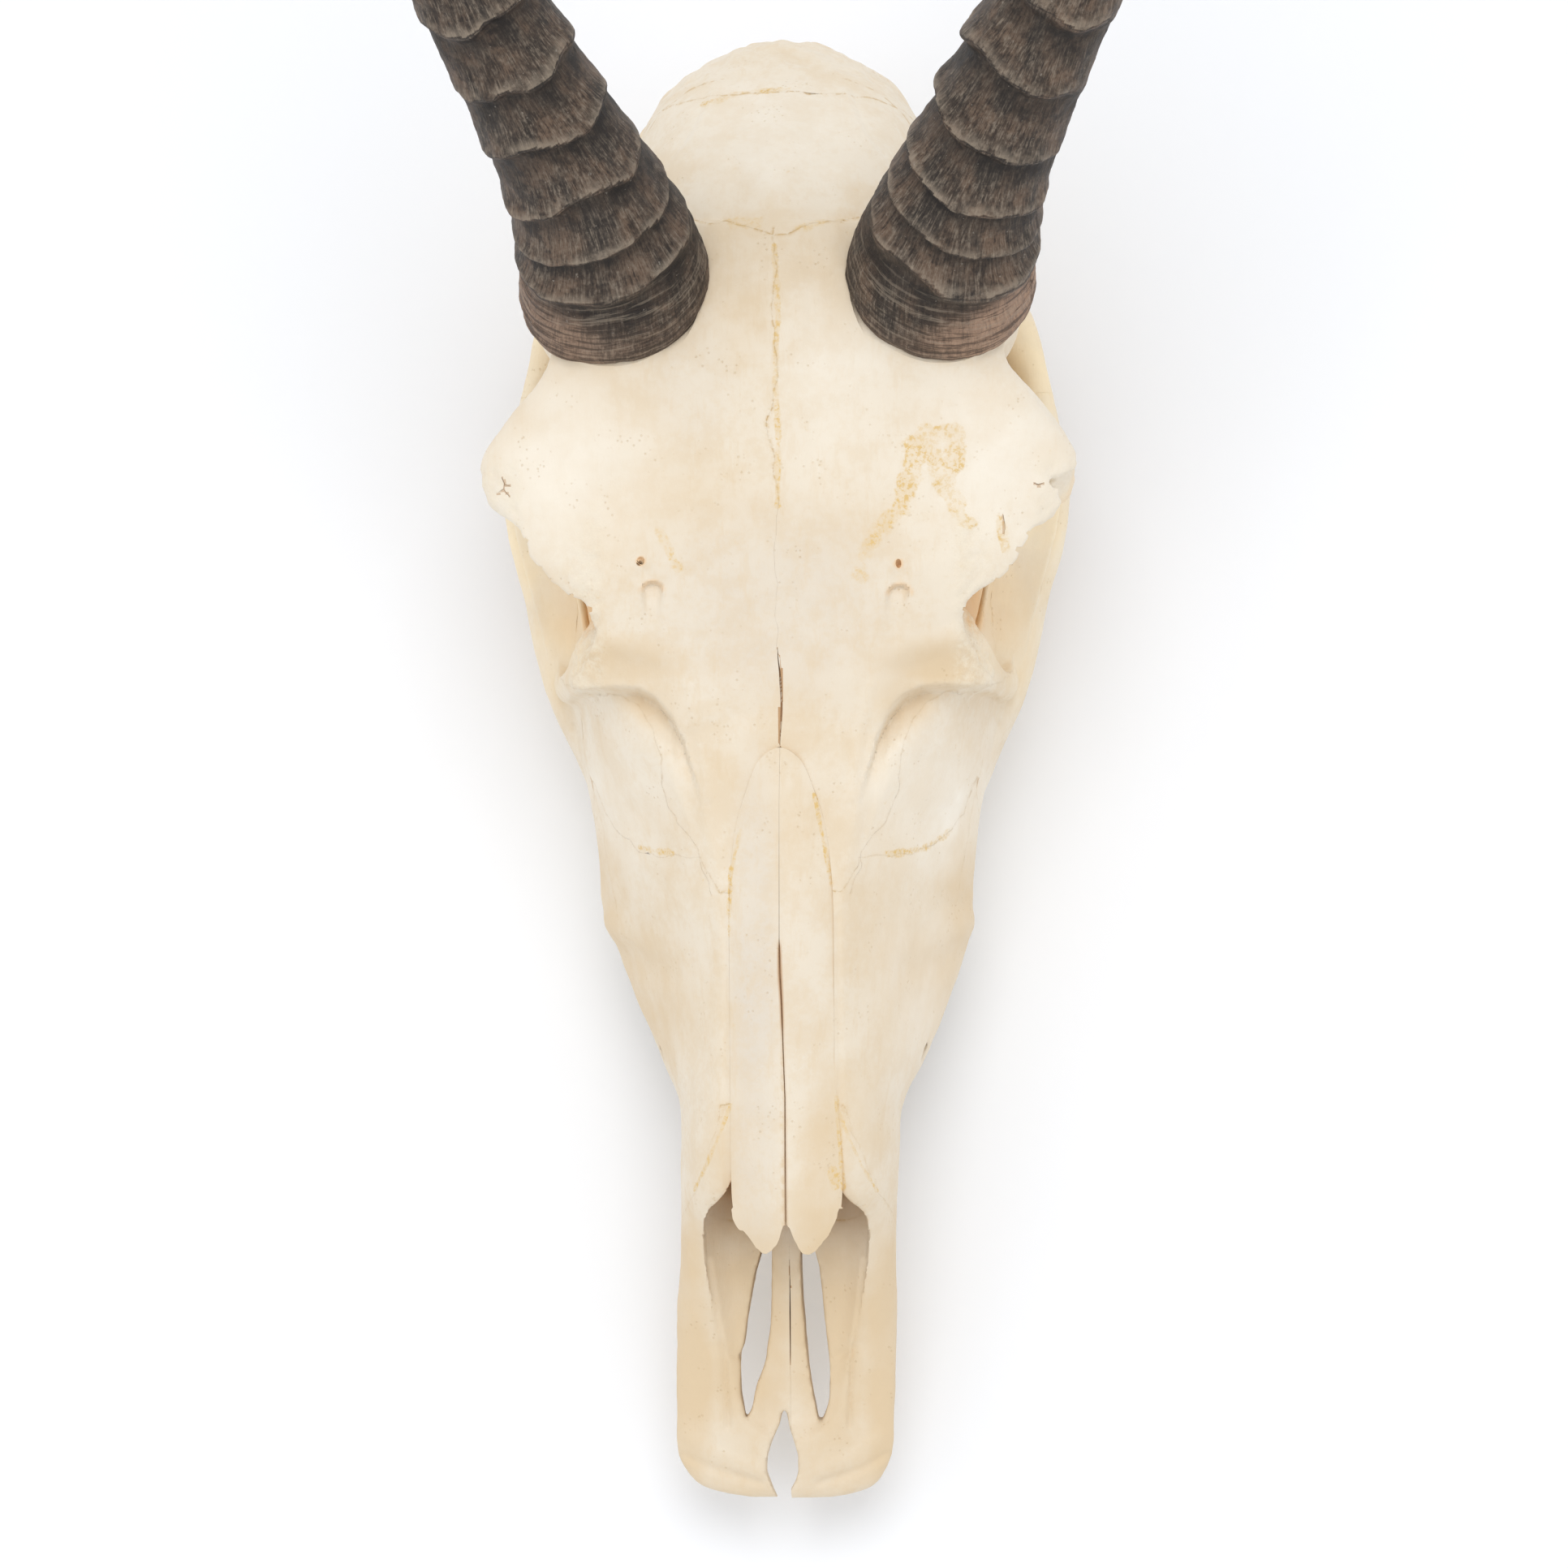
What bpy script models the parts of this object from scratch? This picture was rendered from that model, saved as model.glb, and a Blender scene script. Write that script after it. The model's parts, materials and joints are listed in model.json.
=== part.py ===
"""Skull of a blesbok antelope with both horns, life size, lying on its molars and paroccipital processes.

The bones are drawn in a face frame, in millimetres: x to the animal's left, y from the muzzle back,
z out of the forehead, with the forehead near z = 0. At the end everything is parented to an empty
that tips the skull back until it rests on z = 0. Left and right are the animal's own.
"""

import math

import bmesh
import bpy
import numpy as np
from mathutils import Matrix, Vector
from mathutils.bvhtree import BVHTree

MM = 0.001
SIDES = {"left": 1, "right": -1}

# The pose in which the skull lies, and where the face frame's origin then sits.
REST_PITCH = math.radians(10.2)
REST_ORIGIN = (0.0, -282.2, 63.4)

SUTURE = 0.3
VOXEL = 1.1
SOFTEN_STEPS = 4
SKULL_TRIANGLES = 5400

# Sections of the facial skull from the muzzle back: y, roof height, roof half-width, greatest
# half-width, its height, half-width of the underside, its height, roundness of the upper side.
FACE = (
    (-4.4, -38.0, 4.0, 9.0, -40.5, 5.0, -43.0, 2.0),
    (-3.4, -37.0, 8.0, 14.5, -40.3, 10.0, -43.8, 2.0),
    (-1.4, -36.1, 11.0, 19.2, -40.0, 15.0, -44.5, 2.0),
    (2.0, -35.4, 13.0, 22.0, -39.6, 17.5, -45.0, 2.0),
    (7.0, -34.6, 14.0, 24.0, -39.0, 19.0, -45.6, 2.0),
    (17.0, -33.2, 14.5, 24.3, -38.2, 20.0, -46.4, 1.9),
    (28.0, -30.2, 14.6, 24.4, -37.0, 20.0, -47.6, 1.8),
    (38.0, -26.0, 15.4, 24.1, -35.6, 20.0, -48.8, 1.8),
    (47.0, -20.8, 16.2, 23.7, -34.4, 20.0, -50.0, 1.8),
    (54.0, -15.8, 16.2, 23.6, -33.6, 20.0, -51.0, 1.9),
    (60.0, -9.4, 14.6, 23.6, -33.0, 20.0, -52.0, 1.9),
    (65.5, -3.6, 12.0, 23.8, -32.6, 20.0, -53.0, 2.0),
    (74.0, -1.2, 11.5, 24.1, -33.0, 20.0, -54.6, 2.0),
    (84.0, -0.4, 11.5, 24.7, -35.0, 20.6, -57.0, 1.8),
    (93.0, 0.0, 11.8, 29.0, -41.0, 24.0, -60.0, 1.5),
    (104.0, 0.2, 12.0, 33.8, -46.5, 27.0, -64.0, 1.35),
    (114.0, 0.4, 12.4, 37.8, -51.0, 29.5, -67.5, 1.25),
    (124.0, 0.6, 13.0, 41.0, -51.5, 30.5, -70.5, 1.2),
    (136.0, 0.9, 13.6, 41.8, -49.0, 30.5, -74.0, 1.3),
    (148.0, 1.2, 15.0, 43.3, -48.0, 30.5, -77.5, 1.3),
    (160.0, 1.8, 19.0, 45.8, -48.5, 30.5, -81.0, 1.25),
    (170.0, 2.4, 25.0, 48.0, -50.0, 30.5, -84.0, 1.3),
    (180.0, 3.0, 31.0, 51.0, -52.0, 29.5, -86.5, 1.6),
    (190.0, 2.0, 28.0, 50.0, -56.0, 26.0, -86.5, 1.8),
    (200.0, 0.0, 20.0, 45.0, -60.0, 19.0, -83.0, 1.8),
    (208.0, -3.0, 14.0, 32.0, -58.0, 13.0, -78.0, 1.8),
)
# The braincase and the core between the eyes, in the same terms.
BRAINCASE = (
    (192.0, -2.0, 14.0, 21.0, -34.0, 12.0, -66.0, 2.0),
    (206.0, -1.0, 14.0, 23.0, -38.0, 12.5, -73.0, 2.2),
    (222.0, 0.0, 14.0, 26.0, -40.0, 13.0, -78.0, 2.2),
    (236.0, 2.0, 13.0, 31.0, -43.0, 14.0, -82.0, 2.2),
    (250.0, 3.0, 12.0, 34.6, -45.0, 15.0, -85.0, 2.2),
    (264.0, 3.2, 11.0, 36.2, -47.0, 15.0, -87.5, 2.2),
    (275.0, 0.4, 10.0, 36.4, -49.0, 15.0, -89.0, 2.2),
    (285.0, -7.0, 9.0, 35.4, -53.0, 15.0, -90.0, 2.2),
    (295.0, -17.0, 9.0, 33.0, -57.0, 15.0, -90.0, 2.2),
    (303.0, -27.0, 9.0, 29.8, -59.0, 15.0, -88.0, 2.2),
    (309.5, -36.5, 8.0, 24.6, -61.0, 13.0, -84.0, 2.1),
    (315.0, -46.0, 5.0, 16.6, -62.0, 9.0, -78.0, 2.0),
    (319.0, -55.0, 2.0, 7.0, -63.0, 3.0, -70.0, 2.0),
)
# The forehead plate with the brow over each eye: y, height, half-width, drop of the brow, thickness.
FOREHEAD = (
    (160.0, 1.8, 22.0, 3.0, 9.0),
    (168.0, 2.3, 33.0, 8.0, 12.0),
    (175.0, 2.8, 43.0, 13.0, 13.0),
    (182.0, 3.2, 42.0, 11.0, 13.0),
    (188.0, 3.6, 40.5, 8.0, 13.0),
    (194.0, 4.0, 46.0, 8.5, 13.0),
    (201.0, 4.4, 53.5, 11.0, 13.0),
    (209.0, 4.9, 59.6, 14.0, 14.0),
    (216.0, 5.4, 64.3, 17.5, 15.0),
    (222.0, 5.8, 65.2, 18.0, 16.0),
    (228.0, 6.2, 62.5, 16.0, 17.0),
    (236.0, 6.7, 56.0, 12.0, 19.0),
    (246.0, 7.2, 50.0, 9.0, 22.0),
    (258.0, 7.2, 50.0, 9.0, 24.0),
    (268.0, 5.0, 44.0, 9.0, 24.0),
    (276.0, 0.5, 30.0, 7.0, 18.0),
)
BROW_SQUARE = 2.6
BROW_EDGE = 5.0

# The nose opening and the hollow behind it: y, top height, half-width there, height and half-width
# of the widest level, height and half-width of the floor.
NOSE = (
    (12.5, -20.0, 10.5, -33.4, 9.5, -34.5, 6.0),
    (17.0, -16.0, 13.4, -33.0, 12.8, -38.4, 9.0),
    (25.0, -8.0, 13.8, -30.6, 13.6, -41.0, 11.0),
    (37.0, 8.0, 15.2, -26.4, 15.2, -42.4, 12.5),
    (47.0, 8.0, 16.2, -22.0, 16.6, -43.6, 13.0),
    (54.0, 8.0, 16.2, -20.0, 17.6, -44.6, 13.0),
    (60.0, 8.0, 14.4, -20.0, 18.2, -45.6, 13.0),
    (66.0, 0.0, 10.0, -20.0, 18.6, -46.6, 13.0),
    (78.0, -1.4, 9.0, -20.0, 19.0, -48.6, 13.0),
    (92.0, -1.6, 9.0, -22.0, 20.0, -51.0, 13.0),
    (106.0, -2.0, 8.6, -24.0, 18.0, -53.0, 12.0),
    (118.0, -6.0, 7.0, -26.0, 12.0, -48.0, 9.0),
    (126.0, -18.0, 3.0, -28.0, 5.0, -36.0, 4.0),
)
# Slots in the floor of the nose, front to back: y, inner and outer edge.
PALATE_SLOT = (
    (14.0, 8.4, 9.4),
    (18.5, 7.6, 10.2),
    (25.0, 5.6, 10.3),
    (31.0, 4.2, 9.6),
    (40.0, 3.2, 7.9),
    (48.0, 2.5, 6.3),
    (56.0, 2.0, 5.2),
)
# The notch between the front teeth's sockets: y and half-width.
FRONT_NOTCH = ((-7.0, 2.2), (-1.0, 1.4), (3.0, 2.8), (6.0, 3.5), (9.5, 3.1), (13.0, 2.0), (16.0, 0.9))

# The nasal bones: y, half-width, height on the midline and thickness.
NASAL = (
    (56.5, 8.6, -2.4, 1.4),
    (62.0, 10.9, -1.0, 1.9),
    (72.0, 11.3, 0.4, 2.3),
    (90.0, 11.3, 1.2, 2.5),
    (110.0, 11.3, 1.5, 2.6),
    (130.0, 11.2, 1.8, 2.6),
    (144.0, 9.8, 2.0, 2.6),
    (153.0, 7.2, 2.2, 2.4),
    (159.0, 4.0, 2.4, 2.0),
)
# The front tips of the nasal bones: y, half-width and the distance of the inner edge from the midline.
NASAL_TIP = ((51.0, 2.6, 1.2), (53.5, 5.6, 0.6))
NASAL_TIP_SLOPE = 0.35
NASAL_TIP_THICKNESS = 1.1
NASAL_FALL = 2.6

ORBIT_CENTRE = (53.0, 200.0, -33.0)
ORBIT_RADII = (31.0, 22.0, 21.0)

# Rods of bone: points with the two half-thicknesses there, sideways and up.
CHEEK = (
    (40.0, 150.0, -54.0, 3.0, 9.0),
    (44.0, 162.0, -54.0, 4.0, 9.0),
    (49.0, 174.0, -55.5, 4.4, 8.5),
    (52.4, 186.0, -57.5, 4.4, 7.5),
    (55.0, 198.0, -59.5, 4.4, 6.5),
    (58.2, 210.0, -60.0, 4.4, 6.5),
    (59.4, 222.0, -60.0, 4.0, 7.5),
    (57.6, 234.0, -61.5, 3.6, 6.0),
    (55.0, 246.0, -64.0, 3.6, 5.0),
    (50.0, 257.0, -66.5, 6.0, 5.0),
    (40.0, 264.0, -68.0, 10.0, 5.5),
    (28.0, 266.0, -68.0, 10.0, 6.0),
)
EYE_BAR = (
    (57.0, 223.0, -8.0, 5.5, 5.0),
    (60.0, 226.5, -22.0, 4.2, 4.6),
    (60.6, 227.0, -38.0, 3.6, 4.6),
    (59.6, 225.5, -56.0, 3.8, 5.5),
)
PAROCCIPITAL = (
    (27.0, 296.0, -64.0, 7.0, 9.0),
    (27.5, 290.0, -78.0, 5.0, 8.0),
    (26.5, 282.0, -95.0, 3.6, 6.0),
    (25.0, 275.5, -110.0, 2.8, 4.4),
    (24.6, 274.0, -115.0, 2.6, 3.8),
)
PTERYGOID = (
    (15.0, 184.0, -78.0, 2.6, 9.0),
    (13.0, 198.0, -80.0, 1.9, 10.0),
    (12.0, 212.0, -81.0, 1.7, 10.0),
    (12.0, 226.0, -79.0, 1.8, 8.0),
    (12.0, 240.0, -76.0, 2.6, 6.0),
)
CRANIAL_BASE = (
    (0.0, 214.0, -72.0, 10.0, 8.0),
    (0.0, 240.0, -80.0, 10.5, 7.0),
    (0.0, 270.0, -87.0, 12.0, 6.0),
    (0.0, 296.0, -91.0, 13.0, 6.0),
)
NUCHAL_CREST = (
    (30.0, 297.0, -66.0, 2.8, 3.5),
    (24.0, 309.0, -56.0, 2.8, 3.2),
    (12.0, 315.5, -48.5, 2.6, 3.0),
    (0.0, 317.5, -46.0, 2.6, 3.0),
)
BULLA = ((19.0, 254.0, -91.0), (8.0, 12.0, 10.0))
CONDYLE = ((12.5, 303.0, -90.0), (7.5, 10.0, 10.5))
MAGNUM = ((0.0, 312.0, -84.0), (9.0, 16.0, 9.0))
CHOANA = ((0.0, 206.0, -76.0), (9.5, 24.0, 10.0))

# Upper cheek teeth, front to back: length along the row and width.
TEETH = ((8.5, 8.5), (10.5, 10.5), (11.0, 12.5), (15.0, 14.0), (18.0, 14.5), (19.5, 13.5))
ROW_START = (25.5, 99.0, -60.0)
ROW_END = (29.0, 184.0, -86.0)
ROW_BOW = 2.6
CROWN = 12.0
TOOTH_ROOT = 7.0

# The horn's path from its base: length along it with its rise over the face and its outward turn.
HORN_BASE = (34.8, 262.0, 6.0)
HORN_RISE = ((0, 47), (40, 43), (80, 36), (120, 27), (190, 13), (300, 5), (385, 20))
HORN_TURN = (
    (0, 9), (20, 24), (42, 30), (70, 27), (100, 26), (140, 24), (200, 16), (260, 7), (320, -3), (385, -12),
)
HORN_BEND_LENGTH = 25
HORN_LENGTH = 385.0
HORN_RADIUS = (
    (0, 19.4), (10, 18.2), (22, 16.6), (40, 14.6), (70, 13.1), (110, 12.4), (170, 10.8), (240, 8.6),
    (310, 5.8), (385, 2.0),
)
# The plane of the horn's base: how it leans outward and how steeply it faces up, and how far along
# the horn its sections turn from that plane to lie square to the path.
HORN_BASE_LEAN = 0.12
HORN_BASE_TILT = math.radians(68)
HORN_BASE_BLEND = 34.0
HORN_RINGS = 17
HORN_RING_START = 20.0
HORN_RING_END = 300.0
HORN_RING_RISE = 1.9
HORN_SIDES = 12
# The pedicle's sections: depth under the horn's base and radius.
PEDICLE = ((16.0, 20.0), (4.0, 18.0), (-1.0, 17.0))
PEDICLE_SIDES = 24
HORN_SEAT_RADIUS = 24.0

# Sutures as lines on the side view (y, z) or on the plan (x, y).
PREMAXILLA_SUTURE = ((88.0, 6.0), (84.5, -1.0), (78.0, -7.0), (70.0, -15.0), (64.5, -24.0), (52.0, -56.0))
LACRIMAL_FRONT = ((-1.0, 130.5), (15.0, 130.5), (24.0, 138.0), (29.0, 141.0), (41.0, 157.0), (60.0, 170.0))
LACRIMAL_BACK = (
    (14.8, 130.0), (16.0, 134.0), (20.0, 144.0), (23.0, 148.0), (27.0, 160.0), (36.0, 170.0), (58.0, 188.0),
)
CHEEK_SUTURE = (
    (155.0, -38.0), (139.0, -52.0), (147.0, -66.0), (180.0, -73.0), (188.0, -80.0), (190.0, -104.0),
)
CORONAL = ((0.0, 273.0), (6.0, 275.5), (12.0, 276.5), (18.0, 285.0), (62.0, 286.0))
LAMBDOID = ((306.0, 10.0), (302.0, -38.0), (286.0, -68.0), (268.5, -86.0), (268.5, -130.0))
EYE_LEVEL = -40.0
# Where the other sutures run: the cheek from the palate (x), the palate from the throat (y), the end
# of the midline between the frontals (y), the cheek arch in two (y), the temporal from the sphenoid
# (y at its front, x along it).
CHEEK_WALL = 31.0
THROAT = 192.0
MIDLINE_END = 273.1
ARCH_JOINT = 241.0
TEMPORAL_FRONT = 246.0
TEMPORAL_INNER = 13.5

BONE = ((0.90, 0.83, 0.69, 1.0), 0.62, 0.0)
HORN = ((0.10, 0.075, 0.055, 1.0), 0.55, 0.0)


def clear_scene():
    for obj in list(bpy.data.objects):
        bpy.data.objects.remove(obj, do_unlink=True)


def make_collection(name, hidden=False):
    collection = bpy.data.collections.new(name)
    bpy.context.scene.collection.children.link(collection)
    collection.hide_render = hidden
    return collection


def make_material(name, look):
    colour, roughness, metallic = look
    material = bpy.data.materials.new(name)
    material.use_nodes = True
    shader = material.node_tree.nodes["Principled BSDF"]
    shader.inputs["Base Color"].default_value = colour
    shader.inputs["Roughness"].default_value = roughness
    shader.inputs["Metallic"].default_value = metallic
    material.diffuse_color = colour
    return material


def smooth_rows(rows, steps):
    """The rows with smooth in-between ones, by a Catmull-Rom curve through each column."""
    rows = np.array(rows, float)
    ends = np.vstack([2 * rows[0] - rows[1], rows, 2 * rows[-1] - rows[-2]])
    result = []
    for before, start, end, after in zip(ends, ends[1:], ends[2:], ends[3:]):
        for t in np.arange(steps) / steps:
            cubic = 3 * start - before - 3 * end + after
            square = 2 * before - 5 * start + 4 * end - after
            result.append(start + 0.5 * t * (end - before + t * (square + t * cubic)))
    result.append(rows[-1])
    return np.array(result)


def mesh_object(name, mesh, collection):
    obj = bpy.data.objects.new(name, mesh)
    if collection.hide_render:
        obj.display_type = "WIRE"
    collection.objects.link(obj)
    return obj


def loft(name, rings, collection):
    """A closed skin over rings of points in millimetres, each with the same number of points."""
    bm = bmesh.new()
    loops = [[bm.verts.new(Vector(point) * MM) for point in ring] for ring in rings]
    count = len(loops[0])
    for lower, upper in zip(loops, loops[1:]):
        for i in range(count):
            j = (i + 1) % count
            bm.faces.new((lower[i], lower[j], upper[j], upper[i]))
    bm.faces.new(loops[0])
    bm.faces.new(loops[-1])
    bmesh.ops.recalc_face_normals(bm, faces=bm.faces)
    bmesh.ops.triangulate(bm, faces=bm.faces)
    mesh = bpy.data.meshes.new(name)
    bm.to_mesh(mesh)
    bm.free()
    return mesh_object(name, mesh, collection)


def mirrored_ring(y, half):
    """A whole section at y from its half profile (x, z), which runs from the top to the underside."""
    right = [(-x, y, z) for x, z in reversed(half[1:-1])]
    return [(x, y, z) for x, z in half] + right


def body_ring(row):
    y, top, roof, side, mid, foot, base, square = row
    fall = 0.13 * roof
    quarter = np.linspace(0, math.pi / 2, 9)
    half = [(0.0, top), (roof * 0.55, top - fall * 0.35)]
    for angle in quarter:
        out = math.sin(angle) ** (2 / square)
        up = math.cos(angle) ** (2 / square)
        half.append((roof + (side - roof) * out, mid + (top - fall - mid) * up))
    for angle in quarter[2::2]:
        half.append((foot + (side - foot) * math.cos(angle), mid + (base - mid) * math.sin(angle)))
    half += [(foot * 0.6, base + 1.0), (0.0, base + 2.5)]
    return mirrored_ring(y, half)


def forehead_ring(row):
    y, top, width, drop, thickness = row
    half = []
    for angle in np.linspace(0, math.pi / 2, 11):
        out = math.sin(angle) ** (2 / BROW_SQUARE)
        up = math.cos(angle) ** (2 / BROW_SQUARE)
        half.append((width * out, top - drop * (1 - up)))
    edge = min(BROW_EDGE, thickness * 0.5)
    half += [(width - 1.0, top - drop - edge * 0.6), (width - 4.0, top - drop - edge)]
    half += [(width * 0.55, top - max(thickness, drop + edge)), (0.0, top - thickness - drop * 0.3)]
    return mirrored_ring(y, half)


def nose_ring(row):
    y, top, top_width, mid, mid_width, floor, floor_width = row
    half = [(0.0, top), (top_width, top)]
    half += [(top_width + 0.4 * (mid_width - top_width), 0.45 * top + 0.55 * mid)]
    half += [(mid_width, mid), (0.5 * mid_width + 0.5 * floor_width + 1.0, 0.4 * mid + 0.6 * floor)]
    half += [(floor_width, floor + 1.0), (floor_width * 0.6, floor), (0.0, floor)]
    return mirrored_ring(y, half)


def disc(centre, across, up, reaches, side):
    """A ring of points round a centre, one for each reach, seen from the given side of the skull."""
    ring = []
    for reach, angle in zip(reaches, np.arange(len(reaches)) * 2 * math.pi / len(reaches)):
        point = centre + (across * math.cos(angle) + up * math.sin(angle)) * reach
        ring.append((side * point.x, point.y, point.z))
    return ring


def lofted(name, rows, ring, collection, steps=3):
    return loft(name, [ring(row) for row in smooth_rows(rows, steps)], collection)


def ellipsoid(name, centre, radii, collection, side=1):
    bm = bmesh.new()
    bmesh.ops.create_uvsphere(bm, u_segments=32, v_segments=20, radius=1.0)
    place = Matrix.Translation(Vector((centre[0] * side, *centre[1:])) * MM)
    bmesh.ops.transform(bm, matrix=place @ Matrix.Diagonal((*[r * MM for r in radii], 1.0)), verts=bm.verts)
    mesh = bpy.data.meshes.new(name)
    bm.to_mesh(mesh)
    bm.free()
    return mesh_object(name, mesh, collection)


def rod(name, rows, collection, side=1, steps=4, sides=14):
    """A rod of changing oval section along a path; rows hold x, y, z and the two half-thicknesses."""
    rows = smooth_rows(rows, steps)
    rings = []
    for i, row in enumerate(rows):
        ahead = Vector(rows[min(i + 1, len(rows) - 1), :3] - rows[max(i - 1, 0), :3]).normalized()
        up = Vector((0, 0, 1)) if abs(ahead.z) < 0.8 else Vector((0, 1, 0))
        across = ahead.cross(up).normalized()
        up = across.cross(ahead)
        rings.append(disc(Vector(row[:3]), across * row[3], up * row[4], [1.0] * sides, side))
    return loft(name, rings, collection)


def prism(name, outline, axis, reach, collection):
    """An outline of points drawn out along an axis: along 'x' they are (y, z), along 'z' they are (x, y)."""
    rings = []
    for depth in reach:
        if axis == "x":
            rings.append([(depth, a, b) for a, b in outline])
        else:
            rings.append([(a, b, depth) for a, b in outline])
    return loft(name, rings, collection)


def sheet_cut(name, line, axis, reach, collection, mirror_x=False):
    """A thin wall along a line, which parts two bones by the width of a suture."""
    line = [Vector((*point, 0)) for point in line]
    if mirror_x:
        line = [Vector((-p.x, p.y, 0)) for p in line]
    offsets = []
    for i in range(len(line)):
        ahead = (line[min(i + 1, len(line) - 1)] - line[max(i - 1, 0)]).normalized()
        offsets.append(Vector((-ahead.y, ahead.x, 0)) * SUTURE / 2)
    outline = [p + o for p, o in zip(line, offsets)] + [p - o for p, o in reversed(list(zip(line, offsets)))]
    return prism(name, [(p.x, p.y) for p in outline], axis, reach, collection)


def baked(obj, name, collection):
    """The object as its modifiers leave it, as a plain mesh in its own object."""
    graph = bpy.context.evaluated_depsgraph_get()
    mesh = bpy.data.meshes.new_from_object(obj.evaluated_get(graph))
    mesh.name = name
    result = mesh_object(name, mesh, collection)
    result.matrix_world = obj.matrix_world
    old = obj.data
    bpy.data.objects.remove(obj, do_unlink=True)
    if old.users == 0:
        bpy.data.meshes.remove(old)
    return result


def joined(objects, name, collection):
    """The objects' shells together in one mesh."""
    bm = bmesh.new()
    for obj in objects:
        bm.from_mesh(obj.data)
    mesh = bpy.data.meshes.new(name)
    bm.to_mesh(mesh)
    bm.free()
    for obj in list(objects):
        bpy.data.objects.remove(obj, do_unlink=True)
    return mesh_object(name, mesh, collection)


def boolean(obj, other, operation, collection):
    """The object after a Boolean with another object or with every object of a collection, applied."""
    modifier = obj.modifiers.new(operation.title(), "BOOLEAN")
    modifier.operation = operation
    if isinstance(other, bpy.types.Collection):
        modifier.operand_type = "COLLECTION"
        modifier.collection = other
        used = list(other.objects)
    else:
        modifier.object = other
        used = [other]
    result = baked(obj, obj.name, collection)
    for item in used:
        bpy.data.objects.remove(item, do_unlink=True)
    return result


def islands(mesh):
    """The closed surfaces of a mesh, each as a set of face numbers."""
    bm = bmesh.new()
    bm.from_mesh(mesh)
    bm.faces.ensure_lookup_table()
    seen = set()
    groups = []
    for face in bm.faces:
        if face.index in seen:
            continue
        group = {face.index}
        front = [face]
        while front:
            here = front.pop()
            for edge in here.edges:
                for other in edge.link_faces:
                    if other.index not in group:
                        group.add(other.index)
                        front.append(other)
        seen |= group
        groups.append(group)
    bm.free()
    return groups


def part_of(mesh, faces, name):
    bm = bmesh.new()
    bm.from_mesh(mesh)
    bm.faces.ensure_lookup_table()
    drop = [face for face in bm.faces if face.index not in faces]
    bmesh.ops.delete(bm, geom=drop, context="FACES")
    result = bpy.data.meshes.new(name)
    bm.to_mesh(result)
    bm.free()
    return result


def keep_largest(obj):
    groups = islands(obj.data)
    if len(groups) > 1:
        old = obj.data
        obj.data = part_of(old, max(groups, key=len), obj.name)
        bpy.data.meshes.remove(old)
    return obj


def remeshed(obj, voxel, soften, triangles, collection):
    """One even skin round all of an object's shells, softened, then reduced to about so many triangles."""
    remesh = obj.modifiers.new("Remesh", "REMESH")
    remesh.mode = "VOXEL"
    remesh.voxel_size = voxel * MM
    if soften:
        smooth = obj.modifiers.new("Smooth", "SMOOTH")
        smooth.factor = 0.5
        smooth.iterations = soften
    obj = baked(obj, obj.name, collection)
    if triangles:
        reduce = obj.modifiers.new("Decimate", "DECIMATE")
        reduce.use_collapse_triangulate = True
        reduce.ratio = min(1.0, triangles / sum(len(p.vertices) - 2 for p in obj.data.polygons))
        obj = baked(obj, obj.name, collection)
    return obj


def bone_masses(collection):
    """The closed shapes that together fill the skull without its horns and teeth."""
    shapes = [
        lofted("face", FACE, body_ring, collection),
        lofted("braincase", BRAINCASE, body_ring, collection),
        lofted("forehead", FOREHEAD, forehead_ring, collection),
        rod("cranial_base", CRANIAL_BASE, collection),
    ]
    for side in SIDES.values():
        shapes += [
            rod("cheek", CHEEK, collection, side),
            rod("eye_bar", EYE_BAR, collection, side),
            rod("paroccipital", PAROCCIPITAL, collection, side),
            rod("pterygoid", PTERYGOID, collection, side),
            rod("nuchal_crest", NUCHAL_CREST, collection, side),
            ellipsoid("bulla", *BULLA, collection, side),
            ellipsoid("condyle", *CONDYLE, collection, side),
            pedicle(collection, side),
        ]
    return shapes


def openings(collection):
    """The shapes cut out of the skull: nose, eyes, throat, slots of the palate and the brain's opening."""
    lofted("nose", NOSE, nose_ring, collection)
    ellipsoid("magnum", *MAGNUM, collection)
    ellipsoid("choana", *CHOANA, collection)
    outline = [(width, y) for y, width in FRONT_NOTCH] + [(-width, y) for y, width in reversed(FRONT_NOTCH)]
    prism("front_notch", outline, "z", (-60.0, 10.0), collection)
    for side in SIDES.values():
        ellipsoid("orbit", ORBIT_CENTRE, ORBIT_RADII, collection, side)
        inner = [(side * low, y) for y, low, _ in PALATE_SLOT]
        outer = [(side * high, y) for y, _, high in reversed(PALATE_SLOT)]
        prism("palate_slot", inner + outer, "z", (-60.0, -36.0), collection)


def horn_axis():
    """Points and directions at each millimetre along the left horn's axis, from its rise and its turn."""
    lengths = np.arange(HORN_LENGTH + 1)
    rise = np.radians(np.interp(lengths, *zip(*HORN_RISE)))
    turn = np.radians(np.interp(lengths, *zip(*HORN_TURN)))
    box = np.ones(HORN_BEND_LENGTH) / HORN_BEND_LENGTH
    rise = np.convolve(np.pad(rise, HORN_BEND_LENGTH // 2, "edge"), box, "valid")
    turn = np.convolve(np.pad(turn, HORN_BEND_LENGTH // 2, "edge"), box, "valid")
    ways = np.stack([np.sin(turn) * np.cos(rise), np.cos(turn) * np.cos(rise), np.sin(rise)], axis=1)
    points = np.array(HORN_BASE) + np.vstack([np.zeros(3), np.cumsum(ways[:-1], axis=0)])
    return points, ways


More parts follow.
